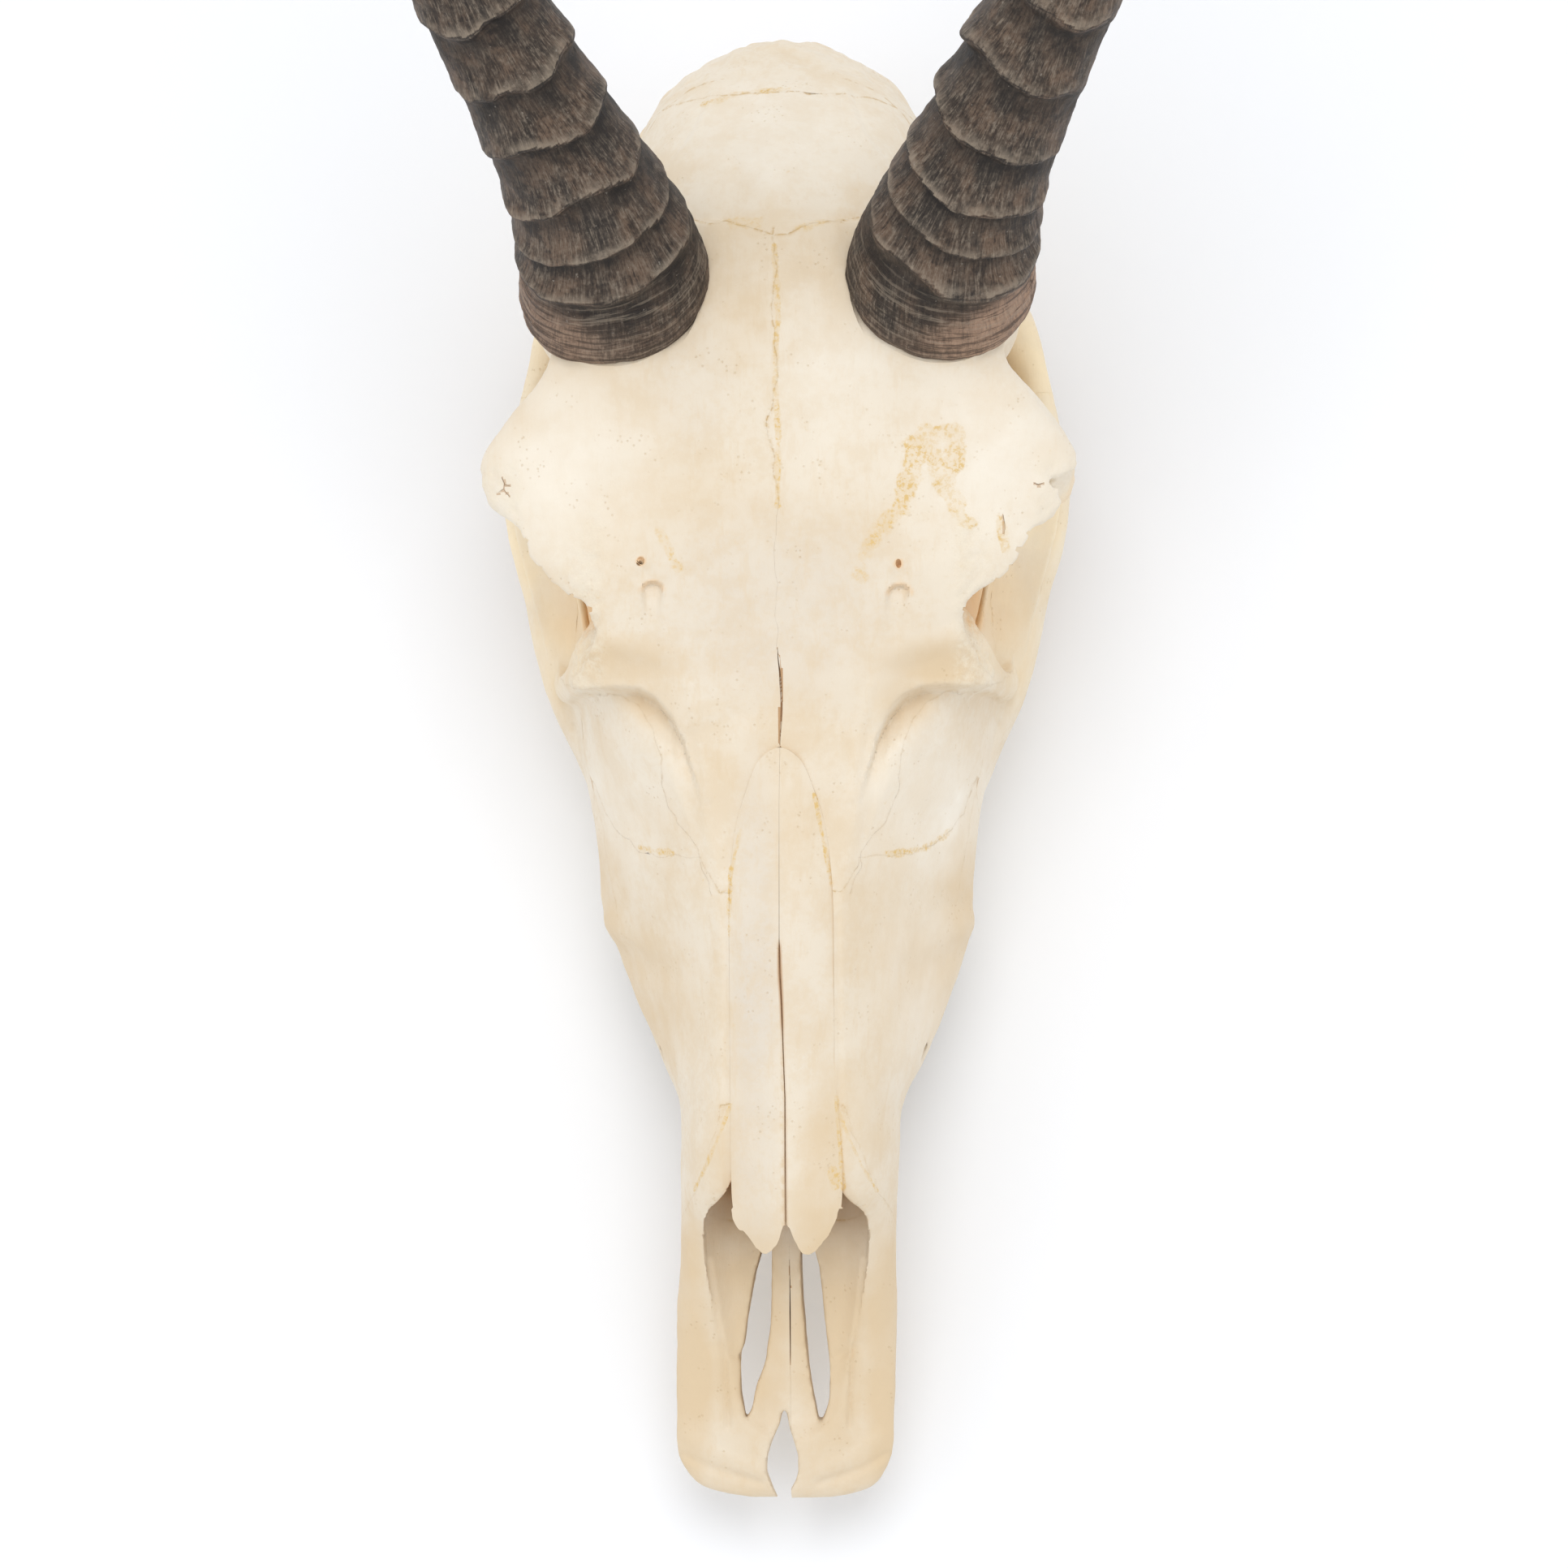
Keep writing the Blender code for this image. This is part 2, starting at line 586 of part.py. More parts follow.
def horn_base():
    """The centre of the left horn's base, the way its plane faces, and the plane's two directions."""
    rise = math.cos(HORN_BASE_TILT), math.sin(HORN_BASE_TILT)
    facing = Vector((HORN_BASE_LEAN, *rise)).normalized()
    across = facing.cross(Vector((0, 0, 1))).normalized()
    return Vector(HORN_BASE), facing, across, across.cross(facing)


def ring_places():
    """Where along the horn its rings crest: close at the base, wider in the middle."""
    t = np.linspace(0, 1, HORN_RINGS)
    return HORN_RING_START + (HORN_RING_END - HORN_RING_START) * (0.72 * t + 0.28 * t * t)


def ring_swell(length):
    """How far the horn swells at this length, from none between two rings to one on a crest."""
    crests = ring_places()
    if length < crests[0] - 6 or length > crests[-1] + 14:
        return 0.0
    spacing = np.interp(length, crests[:-1], np.diff(crests))
    nearest = crests[np.argmin(np.abs(crests - length))]
    offset = (length - nearest) / spacing
    return math.cos(math.pi * min(abs(offset), 0.5)) ** 2


def horn(name, side, collection):
    """A horn round its axis, ringed along the lower part and smooth to its tip."""
    points, ways = horn_axis()
    crests = ring_places()
    marks = [0.0, 4.0, 9.0, 14.0]
    for crest, space in zip(crests, list(np.diff(crests)) + [16.0]):
        marks += [crest - 0.28 * space, crest, crest + 0.28 * space]
    marks += list(np.linspace(crests[-1] + 14, HORN_LENGTH, 6))
    angles = np.arange(HORN_SIDES) * 2 * math.pi / HORN_SIDES
    rings = []
    for mark in sorted(marks):
        i = int(round(mark))
        blend = max(0.0, 1 - mark / HORN_BASE_BLEND)
        plane = Vector(ways[i]).lerp(horn_base()[1], blend).normalized()
        across = plane.cross(Vector((0, 0, 1))).normalized()
        radius = np.interp(mark, *zip(*HORN_RADIUS))
        swell = ring_swell(mark) * HORN_RING_RISE * min(1.0, radius / 12)
        reaches = radius + swell * (0.65 + 0.35 * np.sin(angles))
        rings.append(disc(Vector(points[i]), across, across.cross(plane), reaches, side))
    return loft(name, rings, collection)


def pedicle(collection, side):
    """The stump of bone that carries a horn, up to the gap under the horn's base."""
    centre, facing, across, front = horn_base()
    rings = []
    for depth, radius in PEDICLE:
        rings.append(disc(centre - facing * depth, across, front, [radius] * PEDICLE_SIDES, side))
    return loft("pedicle", rings, collection)


def horn_seat(collection, side):
    """What is cut off the pedicle so that it ends a suture's width under the horn's base."""
    centre, facing, across, front = horn_base()
    reaches = [HORN_SEAT_RADIUS] * PEDICLE_SIDES
    rings = [disc(centre + facing * height, across, front, reaches, side) for height in (-SUTURE, 30.0)]
    return loft("horn_seat", rings, collection)


def nasal_rows():
    return smooth_rows(NASAL, 2)


def nasal_height(x, half, top):
    return top - NASAL_FALL * (x / half) ** 2.4 * (half / 11.3) ** 2


def nasal(name, side, collection):
    """One nasal bone: an arched plate from the midline suture out, with a ragged front tip."""
    rings = []
    for y, half, top, thick in nasal_rows():
        stops = np.linspace(SUTURE / 2, half, 5)
        upper = [(side * x, y, nasal_height(x, half, top)) for x in stops]
        lower = [(side * x, y, nasal_height(x, half, top) - thick) for x in reversed(stops)]
        rings.append(upper + lower)
    y, half, top, _ = NASAL[0]
    tip = []
    for tip_y, reach, inner in NASAL_TIP:
        stops = np.linspace(SUTURE / 2 + inner, reach, 5)
        low = top - NASAL_TIP_SLOPE * (y - tip_y)
        upper = [(side * x, tip_y, nasal_height(x, half, low)) for x in stops]
        lower = [(side * x, tip_y, nasal_height(x, half, low) - NASAL_TIP_THICKNESS) for x in reversed(stops)]
        tip.append(upper + lower)
    return loft(name, tip + rings, collection)


def nasal_seat(collection):
    """The bed of both nasal bones in the roof of the face, a suture's width larger than they are."""
    rings = []
    rows = [(40.0, 12.0, -2.0, 3.0)] + [tuple(row) for row in nasal_rows()] + [(161.0, 2.0, 2.4, 1.6)]
    for y, half, top, thick in rows:
        wide = half + SUTURE
        stops = np.linspace(0, wide, 6)
        low = [(x, nasal_height(min(x, half), half, top) - thick - SUTURE) for x in reversed(stops)]
        rings.append(mirrored_ring(y, [(0.0, 30.0), (wide, 30.0)] + low))
    return loft("nasal_seat", rings, collection)


def suture_cuts(collection):
    """Thin walls that part the skull into its bones."""
    half = SUTURE / 2
    low, high = -140.0, 60.0
    eye = EYE_LEVEL
    middle = ((-20.0, low), (THROAT, low), (THROAT, eye), (MIDLINE_END, eye))
    middle += ((MIDLINE_END, high), (-20.0, high))
    prism("midline", middle, "x", (-half, half), collection)
    level = ((124.0, eye - half), (310.0, eye - half), (310.0, eye + half), (124.0, eye + half))
    prism("eye_level", level, "x", (-90.0, 90.0), collection)
    sheet_cut("premaxilla", PREMAXILLA_SUTURE, "x", (-60.0, 60.0), collection)
    sheet_cut("lambdoid", LAMBDOID, "x", (-60.0, 60.0), collection)
    under = eye + 0.1
    throat = ((THROAT - half, under), (THROAT + half, under), (THROAT + half, low), (THROAT - half, low))
    prism("throat", throat, "x", (-CHEEK_WALL - 0.1, CHEEK_WALL + 0.1), collection)
    for side in SIDES.values():
        mirror = side < 0
        sheet_cut("lacrimal_front", LACRIMAL_FRONT, "z", (eye, high), collection, mirror)
        sheet_cut("lacrimal_back", LACRIMAL_BACK, "z", (eye, high), collection, mirror)
        sheet_cut("coronal", CORONAL, "z", (eye, high), collection, mirror)
        sheet_cut("cheek_front", CHEEK_SUTURE, "x", (side * (CHEEK_WALL - 0.1), side * 80.0), collection)
        wall = (*CHEEK_SUTURE, (214.0, -104.0), (214.0, under))
        prism("cheek_wall", wall, "x", (side * (CHEEK_WALL - half), side * (CHEEK_WALL + half)), collection)
        front, back = ARCH_JOINT - half, ARCH_JOINT + half
        arch = ((front, -30.0), (back, -30.0), (back, -90.0), (front, -90.0))
        prism("arch", arch, "x", (side * 40.0, side * 80.0), collection)
        front, back = TEMPORAL_FRONT - half, TEMPORAL_FRONT + half
        rear = ((front, under), (back, under), (back, low), (front, low))
        prism("rear", rear, "x", (side * (TEMPORAL_INNER - 0.1), side * 45.0), collection)
        start = front - 0.05
        flank = ((start, under), (start, low), (271.0, low), (271.0, -86.0), (289.0, -68.0), (305.0, under))
        reach = (side * (TEMPORAL_INNER - half), side * (TEMPORAL_INNER + half))
        prism("flank", flank, "x", reach, collection)


# A point inside each bone that the cuts leave, on the animal's left where it is one of a pair.
PAIRED_BONES = {
    "premaxilla": (19.0, 20.0, -39.0),
    "maxilla": (22.0, 140.0, -62.0),
    "lacrimal": (30.0, 160.0, -22.0),
    "zygomatic": (52.0, 186.0, -58.0),
    "frontal": (30.0, 220.0, 0.0),
    "temporal": (26.0, 262.0, -60.0),
}
SINGLE_BONES = {
    "parietal": (0.0, 292.0, -26.0),
    "sphenoid": (0.0, 235.0, -60.0),
    "occipital": (0.0, 306.0, -55.0),
}


def holds(mesh, spot):
    """Whether a point in millimetres lies inside a closed mesh."""
    bm = bmesh.new()
    bm.from_mesh(mesh)
    tree = BVHTree.FromBMesh(bm)
    bm.free()
    origin, ray = spot * MM, Vector((0.123, 0.211, 0.97)).normalized()
    crossings = 0
    while True:
        hit = tree.ray_cast(origin, ray)[0]
        if hit is None:
            return crossings % 2 == 1
        crossings += 1
        origin = hit + ray * 1e-6


def named_bones(skull, collection):
    """Each bone as its own object: the piece round the point that names it."""
    seeds = {name: Vector(spot) for name, spot in SINGLE_BONES.items()}
    for name, spot in PAIRED_BONES.items():
        for word, side in SIDES.items():
            seeds[f"{name}_{word}"] = Vector((side * spot[0], *spot[1:]))
    bones = {}
    for faces in sorted(islands(skull.data), key=len, reverse=True)[: 2 * len(seeds)]:
        mesh = part_of(skull.data, faces, "piece")
        for name in [name for name, spot in seeds.items() if holds(mesh, spot)]:
            mesh.name = name
            bones[name] = mesh_object(name, mesh, collection)
            del seeds[name]
    if seeds:
        raise RuntimeError(f"no piece holds the points of {sorted(seeds)}")
    bpy.data.objects.remove(skull, do_unlink=True)
    return bones


def tooth_row(side, collection):
    """The cheek teeth of one side, each a crown with two outer ribs that sinks into the jaw."""
    start, end = Vector(ROW_START), Vector(ROW_END)
    along = (end - start).normalized()
    down = Vector((0, along.z, -along.y)).normalized()
    total = sum(length for length, _ in TEETH)
    scale = (end - start).length / total
    place = 0.0
    for number, (length, width) in enumerate(TEETH):
        length *= scale
        middle = place + length / 2
        centre = start + along * middle
        centre.x += ROW_BOW * math.sin(math.pi * middle / (total * scale))
        rings = []
        for depth, grow in ((-TOOTH_ROOT, 0.86), (0.0, 0.97), (CROWN - 2.5, 1.0), (CROWN, 0.9)):
            ring = []
            for angle in np.arange(12) * math.pi / 6:
                c, s = math.cos(angle), math.sin(angle)
                out = math.copysign(abs(c) ** 0.7, c) * width / 2
                rib = 0.9 * abs(math.sin(2 * angle)) if c > 0.1 and length > 13 else 0.0
                back = math.copysign(abs(s) ** 0.6, s) * (length / 2 - 0.25)
                point = centre + Vector((out + rib, 0, 0)) * grow + along * back * grow + down * depth
                ring.append((side * point.x, point.y, point.z))
            rings.append(ring)
        loft(f"tooth_{number}", rings, collection)
        place += length


def floor_cut(rest, collection):
    """A block under the floor, in the face frame, which takes the small flats that the skull lies on."""
    bm = bmesh.new()
    bmesh.ops.create_cube(bm, size=1.0)
    bmesh.ops.scale(bm, vec=(0.4, 0.9, 0.1), verts=bm.verts)
    bmesh.ops.translate(bm, vec=(0, 0, -0.05), verts=bm.verts)
    bmesh.ops.transform(bm, matrix=rest.inverted(), verts=bm.verts)
    mesh = bpy.data.meshes.new("floor")
    bm.to_mesh(mesh)
    bm.free()
    return mesh_object("floor", mesh, collection)


def main():
    clear_scene()
    parts = make_collection("blesbok_skull")
    cutters = make_collection("cutters", hidden=True)
    work = make_collection("work", hidden=True)
    joins = make_collection("joins", hidden=True)
    bone = make_material("bone", BONE)
    horn_stuff = make_material("horn", HORN)
    rest = Matrix.Translation(Vector(REST_ORIGIN) * MM) @ Matrix.Rotation(REST_PITCH, 4, "X")

    skull = joined(bone_masses(work), "skull", work)
    skull = remeshed(skull, VOXEL, 2, 0, work)
    openings(cutters)
    skull = boolean(skull, cutters, "DIFFERENCE", work)
    skull = remeshed(skull, VOXEL, SOFTEN_STEPS, SKULL_TRIANGLES, work)
    nasal_seat(cutters)
    for side in SIDES.values():
        horn_seat(cutters, side)
    suture_cuts(cutters)
    skull = boolean(skull, cutters, "DIFFERENCE", work)
    bones = named_bones(skull, parts)

    for word, side in SIDES.items():
        tooth_row(side, joins)
        name = f"maxilla_{word}"
        bones[name] = boolean(bones[name], joins, "UNION", parts)
        bones[f"nasal_{word}"] = nasal(f"nasal_{word}", side, parts)
        bones[f"horn_{word}"] = horn(f"horn_{word}", side, parts)
    for name in ("maxilla_left", "maxilla_right", "occipital"):
        bones[name] = boolean(bones[name], floor_cut(rest, cutters), "DIFFERENCE", parts)

    pose = bpy.data.objects.new("rest_pose", None)
    parts.objects.link(pose)
    pose.matrix_world = rest
    for name, obj in bones.items():
        keep_largest(obj)
        obj.name = name
        obj.parent = pose
        obj.data.materials.clear()
        obj.data.materials.append(horn_stuff if name.startswith("horn") else bone)
        obj.data.shade_smooth()


main()
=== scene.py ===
"""Looks of a blesbok skull: bones parted by their sutures, cheek teeth and ringed horns on a pale floor.

Shapes are drawn in the face frame, in millimetres: x to the animal's left, y from the muzzle back,
z out of the forehead. The rest pose then tips the skull back until it lies on its molars.
"""

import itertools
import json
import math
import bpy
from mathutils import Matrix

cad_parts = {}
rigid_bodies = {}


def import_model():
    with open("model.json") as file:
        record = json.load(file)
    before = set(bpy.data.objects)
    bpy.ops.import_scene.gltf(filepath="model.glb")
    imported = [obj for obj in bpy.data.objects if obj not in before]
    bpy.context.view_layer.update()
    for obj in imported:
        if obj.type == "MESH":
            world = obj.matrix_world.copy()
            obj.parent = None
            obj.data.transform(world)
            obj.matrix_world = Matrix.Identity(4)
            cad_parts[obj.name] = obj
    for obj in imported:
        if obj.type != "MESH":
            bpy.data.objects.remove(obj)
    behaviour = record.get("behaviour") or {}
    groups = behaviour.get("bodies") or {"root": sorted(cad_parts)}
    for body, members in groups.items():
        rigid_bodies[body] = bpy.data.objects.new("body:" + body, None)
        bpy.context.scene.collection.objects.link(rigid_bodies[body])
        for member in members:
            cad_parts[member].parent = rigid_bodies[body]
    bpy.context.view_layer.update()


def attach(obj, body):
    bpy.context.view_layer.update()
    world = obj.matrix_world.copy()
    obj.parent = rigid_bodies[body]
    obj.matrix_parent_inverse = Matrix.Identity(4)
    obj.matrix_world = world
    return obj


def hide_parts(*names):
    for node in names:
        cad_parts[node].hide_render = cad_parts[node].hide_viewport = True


bl_info = {
    "name": "Blesbok skull",
    "version": (1, 0, 0),
    "blender": (4, 5, 0),
    "location": "View3D > Sidebar > Skull",
    "description": "Builds a cleaned antelope skull with ringed horns around its packed solids",
    "category": "Add Mesh",
}

import bmesh
import bpy
import numpy as np
from mathutils import Matrix, Vector
from mathutils.bvhtree import BVHTree

for leftover in list(bpy.data.objects):
    bpy.data.objects.remove(leftover, do_unlink=True)
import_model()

MM = 0.001
SIDES = {"left": 1, "right": -1}
REST_PITCH = math.radians(10.2)
REST_ORIGIN = (0.0, -282.2, 63.4)
LOWEST = 0.04
# Points round a disc or a tooth, how often an even skin is softened, and the angles of sharp edges.
ROUND = 48
SOFTENING = 3
TOOTH_SOFTENING = 2
SHARP = math.radians(50)
NASAL_SHARP = math.radians(40)
REST = Matrix.Translation(Vector(REST_ORIGIN) * MM) @ Matrix.Rotation(REST_PITCH, 4, "X")

# Sections of the facial skull from the muzzle back: y, roof height, roof half-width, greatest
# half-width, its height, half-width of the underside, its height, roundness of the upper side.
FACE = (
    (-4.1, -38, 4, 9, -40.5, 5, -43, 2),
    (-3.2, -37, 8, 14.5, -40.3, 10, -43.8, 2),
    (-1.4, -36.1, 11, 19.2, -40, 15, -44.5, 2),
    (2, -35.4, 13, 22, -39.6, 17.5, -45, 2),
    (7, -34.6, 14, 24, -39, 19, -45.6, 2),
    (17, -33.2, 14.5, 24.4, -38.2, 20, -46.4, 1.9),
    (28, -30.2, 14.6, 24.5, -37, 20, -47.6, 1.8),
    (38, -26, 15.4, 24.2, -35.6, 20, -48.8, 1.8),
    (47, -20.8, 16.2, 23.8, -34.4, 20, -50, 1.8),
    (54, -15.8, 16.2, 23.7, -33.6, 20, -51, 1.9),
    (60, -9.4, 14.6, 23.7, -33, 20, -52, 1.9),
    (65.5, -3.6, 12, 23.9, -32.6, 20, -53, 2),
    (74, -1.2, 11.5, 24.2, -33, 20, -54.6, 2),
    (84, -0.4, 11.5, 24.8, -35, 20.6, -57, 1.8),
    (93, 0, 11.8, 29, -41, 24, -60, 1.5),
    (104, 0.2, 12, 33.9, -46.5, 27, -64, 1.35),
    (114, 0.4, 12.4, 37.9, -51, 29.5, -67.5, 1.25),
    (124, 0.6, 13, 41, -51.5, 30.5, -70.5, 1.2),
    (136, 0.9, 13.6, 41.9, -49, 30.5, -74, 1.3),
    (148, 1.2, 16.5, 43.4, -48, 30.5, -77.5, 1.35),
    (160, 1.8, 23, 45.8, -48.5, 30.5, -81, 1.4),
    (170, 2.4, 31, 48, -50, 30.5, -84, 1.5),
    (180, 3, 35, 51, -52, 29.5, -86.5, 1.7),
    (190, 2, 28, 50, -56, 26, -86.5, 1.8),
    (200, 0, 20, 45, -60, 19, -83, 1.8),
    (208, -3, 14, 32, -58, 13, -78, 1.8),
)
ROOF_FALL = 0.13
# The arch of the underside: share of its half-width and rise.
PALATE_ARCH = ((0.6, 1), (0.3, 2), (0, 2.5))
BRAINCASE = (
    (192, -2, 14, 21, -34, 12, -66, 2),
    (206, -1, 14, 23, -38, 12.5, -73, 2.2),
    (222, 0, 14, 26, -40, 13, -78, 2.2),
    (236, 2, 13, 31, -43, 14, -82, 2.2),
    (250, 3, 12, 34.6, -45, 15, -85, 2.2),
    (264, 3.2, 11, 36.2, -47, 15, -87.5, 2.2),
    (275, 0.4, 10, 36.4, -49, 15, -89, 2.2),
    (285, -7, 9, 35.4, -53, 15, -90, 2.2),
    (295, -17, 9, 33, -57, 15, -90, 2.2),
    (303, -27, 9, 29.8, -59, 15, -88, 2.2),
    (309.5, -36.5, 8, 24.6, -61, 13, -84, 2.1),
    (315.6, -45.6, 5, 17, -62, 9, -78, 2),
    (320, -54, 2, 7.4, -63, 3, -70, 2),
)
# The forehead plate: y, height, half-width, drop of the brow, thickness.
FOREHEAD = (
    (158, -2.4, 24, 3, 9),
    (163, 0, 29, 5, 10),
    (168, 1.8, 35, 8, 11),
    (175, 2.8, 45, 12, 11),
    (182, 3.2, 43, 11, 12),
    (188, 3.6, 40.5, 8, 13),
    (194, 4, 45, 8.5, 12),
    (201, 4.4, 53, 11, 11.5),
    (209, 4.9, 58.5, 14, 12),
    (216, 5.4, 64, 17.5, 13),
    (222, 5.8, 65, 18, 15),
    (228, 6.2, 62.5, 16, 17),
    (236, 6.7, 56, 12, 19),
    (246, 7.2, 50, 9, 22),
    (258, 7.2, 50, 9, 24),
    (268, 5, 44, 9, 24),
    (276, 0.5, 30, 7, 18),
)
BROW_SQUARE = 2.6
BROW_EDGE = 5.0
# The edge's lower lip: how far in it lies, and its share of the edge's height.
BROW_LIP = ((0.8, 0.6), (3.5, 1))
# The chipped outer edge of the plate on each side, from the antorbital point back: y, half-width.
BROW = {
    "left": (
        (158, 13), (163.8, 20.3), (168.3, 22.8), (172.3, 25.6), (174, 28.4), (174.3, 31),
        (174.5, 44), (174.9, 46.4), (175.6, 46.8), (177.9, 45.2), (180.7, 43.1), (184.4, 41.6),
        (187, 40.2), (189.8, 39.7), (193.7, 41.8), (196, 44.5), (198.6, 48.7), (201, 51.4),
        (206.6, 53.8), (208.4, 54.2), (210, 57.9), (211.9, 59.9), (214, 61), (216.3, 61.2),
        (217.6, 60.2), (218.4, 57.6), (219.6, 59), (221.4, 63.6), (222.8, 64.8), (225.5, 64.6),
        (229, 62.6), (232.6, 60.4), (236.5, 57.5), (240.5, 53.4), (244, 50.6), (248, 49),
    ),
    "right": (
        (158, 12), (164.9, 21.3), (168.8, 24), (172.5, 26.8), (174.2, 29.5), (174.4, 32),
        (174.6, 44), (175, 46.6), (175.6, 46.4), (177, 45.6), (180.6, 42.4), (185, 40.2),
        (187, 39.4), (189.3, 40.3), (192.5, 42), (194.6, 43.8), (196, 46.9), (198.3, 50),
        (201.5, 52.7), (205.6, 54.9), (207.7, 55.9), (209.6, 56.3), (210.6, 58), (212.4, 60.8),
        (214, 62.6), (216.3, 63.6), (218.1, 64.1), (220.2, 64.7), (223.2, 65.2), (226.2, 64.2),
        (229, 62.2), (232.3, 59.6), (235.4, 57.2), (238, 54.9), (240.4, 52.5), (244, 49.9),
        (248, 48.4),
    ),
}

# Where along y the edge is chipped, with a soft start and end, and its chips: depth, size and random seed.
CHIPPED = ((186, 190), (217, 222))
CHIPS = ((0.9, 2.6, 5), (0.6, 1.5, 6))

# The hollow of the nose: y, top height, half-width there, height and half-width of the widest level,
# height and half-width of the floor.
NOSE = (
    (5, -30, 12, -33.2, 10, -34.2, 6),
    (9.5, -28, 12.6, -33, 11.2, -34.9, 7),
    (13.5, -24, 13.2, -32.6, 12.2, -36.4, 8.4),
    (18, -16, 13.6, -33, 13, -36, 9.2),
    (25, -8, 13.9, -31.6, 13.8, -34.8, 10.6),
    (37, 8, 15.6, -27.6, 15.6, -32.2, 12),
    (47, 8, 17, -23.4, 17.2, -30.4, 12.8),
    (54, 8, 17, -21, 18, -30, 13.2),
    (60, 8, 14.8, -20, 18.4, -31.2, 13.4),
    (66, 0, 10.4, -20, 18.6, -34.6, 13.4),
    (78, -1.4, 9, -20, 19, -48.6, 13),
    (92, -1.6, 9, -22, 20, -51, 13),
    (106, -2, 8.6, -24, 18, -53, 12),
    (118, -6, 7, -26, 12, -48, 9),
    (126, -18, 3, -28, 5, -36, 4),
)
# Slots in the floor of the nose, front to back: y, inner and outer edge.
PALATE_SLOT = {
    "left": (
        (12.3, 6.3, 7.2), (14.2, 6.2, 7.7), (17.2, 5.7, 8.6), (21, 5, 8.9), (25.3, 4.4, 8.9),
        (28.9, 4, 8.7), (32.5, 3.6, 8.4), (38.2, 3.2, 7.9), (43, 2.9, 7.5), (46.9, 2.8, 7),
        (50, 2.8, 6.2), (56, 2.8, 5),
    ),
    "right": (
        (13.6, 9.2, 10), (15.9, 8.1, 10.3), (19, 7.5, 10.8), (21.5, 6.9, 10.9), (24.3, 5.8, 10.9),
        (27.1, 4.9, 10.8), (29, 4.7, 10.4), (30.4, 4.5, 9.9), (36.1, 3.9, 9), (42, 3.7, 8),
        (46, 3.5, 7.3), (50, 3.4, 6.2), (56, 3.3, 5),
    ),
}
# The notch between the tips of the premaxillae: y, left edge and right edge.
FRONT_NOTCH = (
    (-7, 0.6, -1.2),
    (-3.4, -0.5, -3),
    (-0.3, 1.2, -4.4),
    (1.7, 1.8, -5.2),
    (5.3, 1.9, -5),
    (8.7, 1.1, -4),
    (12.3, -0.1, -2.3),
    (14.8, -0.6, -1.8),
    (15.8, -1, -1.4),
)

# Both nasal bones: y, half-width, height on the midline, thickness.
NASAL = (
    (56.5, 8.6, -2.4, 1.4),
    (62, 10.9, -1, 1.9),
    (72, 11.3, 0.4, 2.3),
    (90, 11.3, 1.2, 2.5),
    (110, 11.3, 1.5, 2.6),
    (130, 11.2, 1.8, 2.6),
    (144, 9.8, 2, 2.6),
    (153, 7.2, 2.2, 2.4),
    (158, 5.2, 2.4, 2.1),
    (160, 3.6, 2.5, 1.8),
    (161.2, 2, 2.5, 1.5),
    (161.8, 0.5, 2.5, 1.3),
)
# The first and last row of the bed that they lie in, which runs on at either end.
NASAL_BED_ENDS = ((40, 12, -2, 3), (161.85, 0.3, 2.5, 1.3))
NASAL_FALL = 2.6
# Their full half-width, and from where to where along y they have it.
NASAL_WIDEST = 11.3
NASAL_SHOULDER = 62
NASAL_NARROWS = 130
# Their tips: where the furthest ends, how steeply they fall and how thick they are.
NASAL_TIP_END = 52.0
NASAL_TIP_RISE = 0.35
NASAL_TIP_THICK = 1.2
# Where the even rows of faces along them end, and the last ones.
NASAL_END = 161.3
NASAL_LAST = (161.5, 161.75)
# The ragged front edge of each nasal bone: distance from the midline, y.
NASAL_TIPS = {
    "left": (
        (0, 60), (1.4, 57.4), (2.3, 55.2), (3.6, 52.6), (4.5, 52), (6.6, 52.5), (8.4, 54.6),
        (9.6, 56), (10.3, 57.4), (11.3, 59.4), (12, 62),
    ),
    "right": (
        (0, 58.4), (1.2, 55), (2.4, 53.2), (3.8, 52), (5.5, 52.9), (6.8, 54.6), (8.5, 56.8),
        (9.8, 57.6), (10.9, 59.4), (11.4, 62),
    ),
}
# How wide the slit between left and right gapes along y: between the nasal bones, and where it is
# a shallow groove in the bones before and behind them, whose bottom lies at the given height.
NASAL_GAP = (
    (40, 0.15), (54, 0.3), (58, 0.5), (72, 0.4), (88, 0.3), (100, 0.3), (106, 0.4), (112, 0.62), (117, 0.5),
    (121, 0.1), (150, 0.03), (200, 0.03),
)
GROOVES = (
    (((22, 0.03), (27, 0.22), (38, 0.26), (46, 0.1), (50, 0.03)), -34.6),
    (((161, 0.03), (165, 0.26), (170, 0.46), (176, 0.5), (180, 0.24), (184, 0.03)), 1.4),
)
# Half the width of the slit's bottom between the nasal bones, and its depth.
SLIT_FLOOR = 0.015
SLIT_DEPTH = 0.5

ORBIT_CENTRE = (53, 200, -33)
ORBIT_RADII = (31, 22, 21)
CHEEK = (
    (40, 150, -54, 3, 9),
    (44, 162, -54, 4, 9),
    (49, 174, -55.5, 4.4, 8.5),
    (52.4, 186, -57.5, 4.4, 7.5),
    (55, 198, -59.5, 4.4, 6.5),
    (58.2, 210, -60, 4.4, 6.5),
    (59.4, 222, -60, 4, 7.5),
    (57.6, 234, -61.5, 3.6, 6),
    (55, 246, -64, 3.6, 5),
    (50, 257, -66.5, 6, 5),
    (40, 264, -68, 10, 5.5),
    (28, 266, -68, 10, 6),
)
EYE_BAR = (
    (57, 223, -8, 5.5, 5),
    (59.6, 220.5, -17, 4.6, 6.6),
    (60.6, 224, -26, 3.8, 5.6),
    (60.8, 226, -38, 3.6, 4.6),
    (59.6, 225.5, -56, 3.8, 5.5),
)
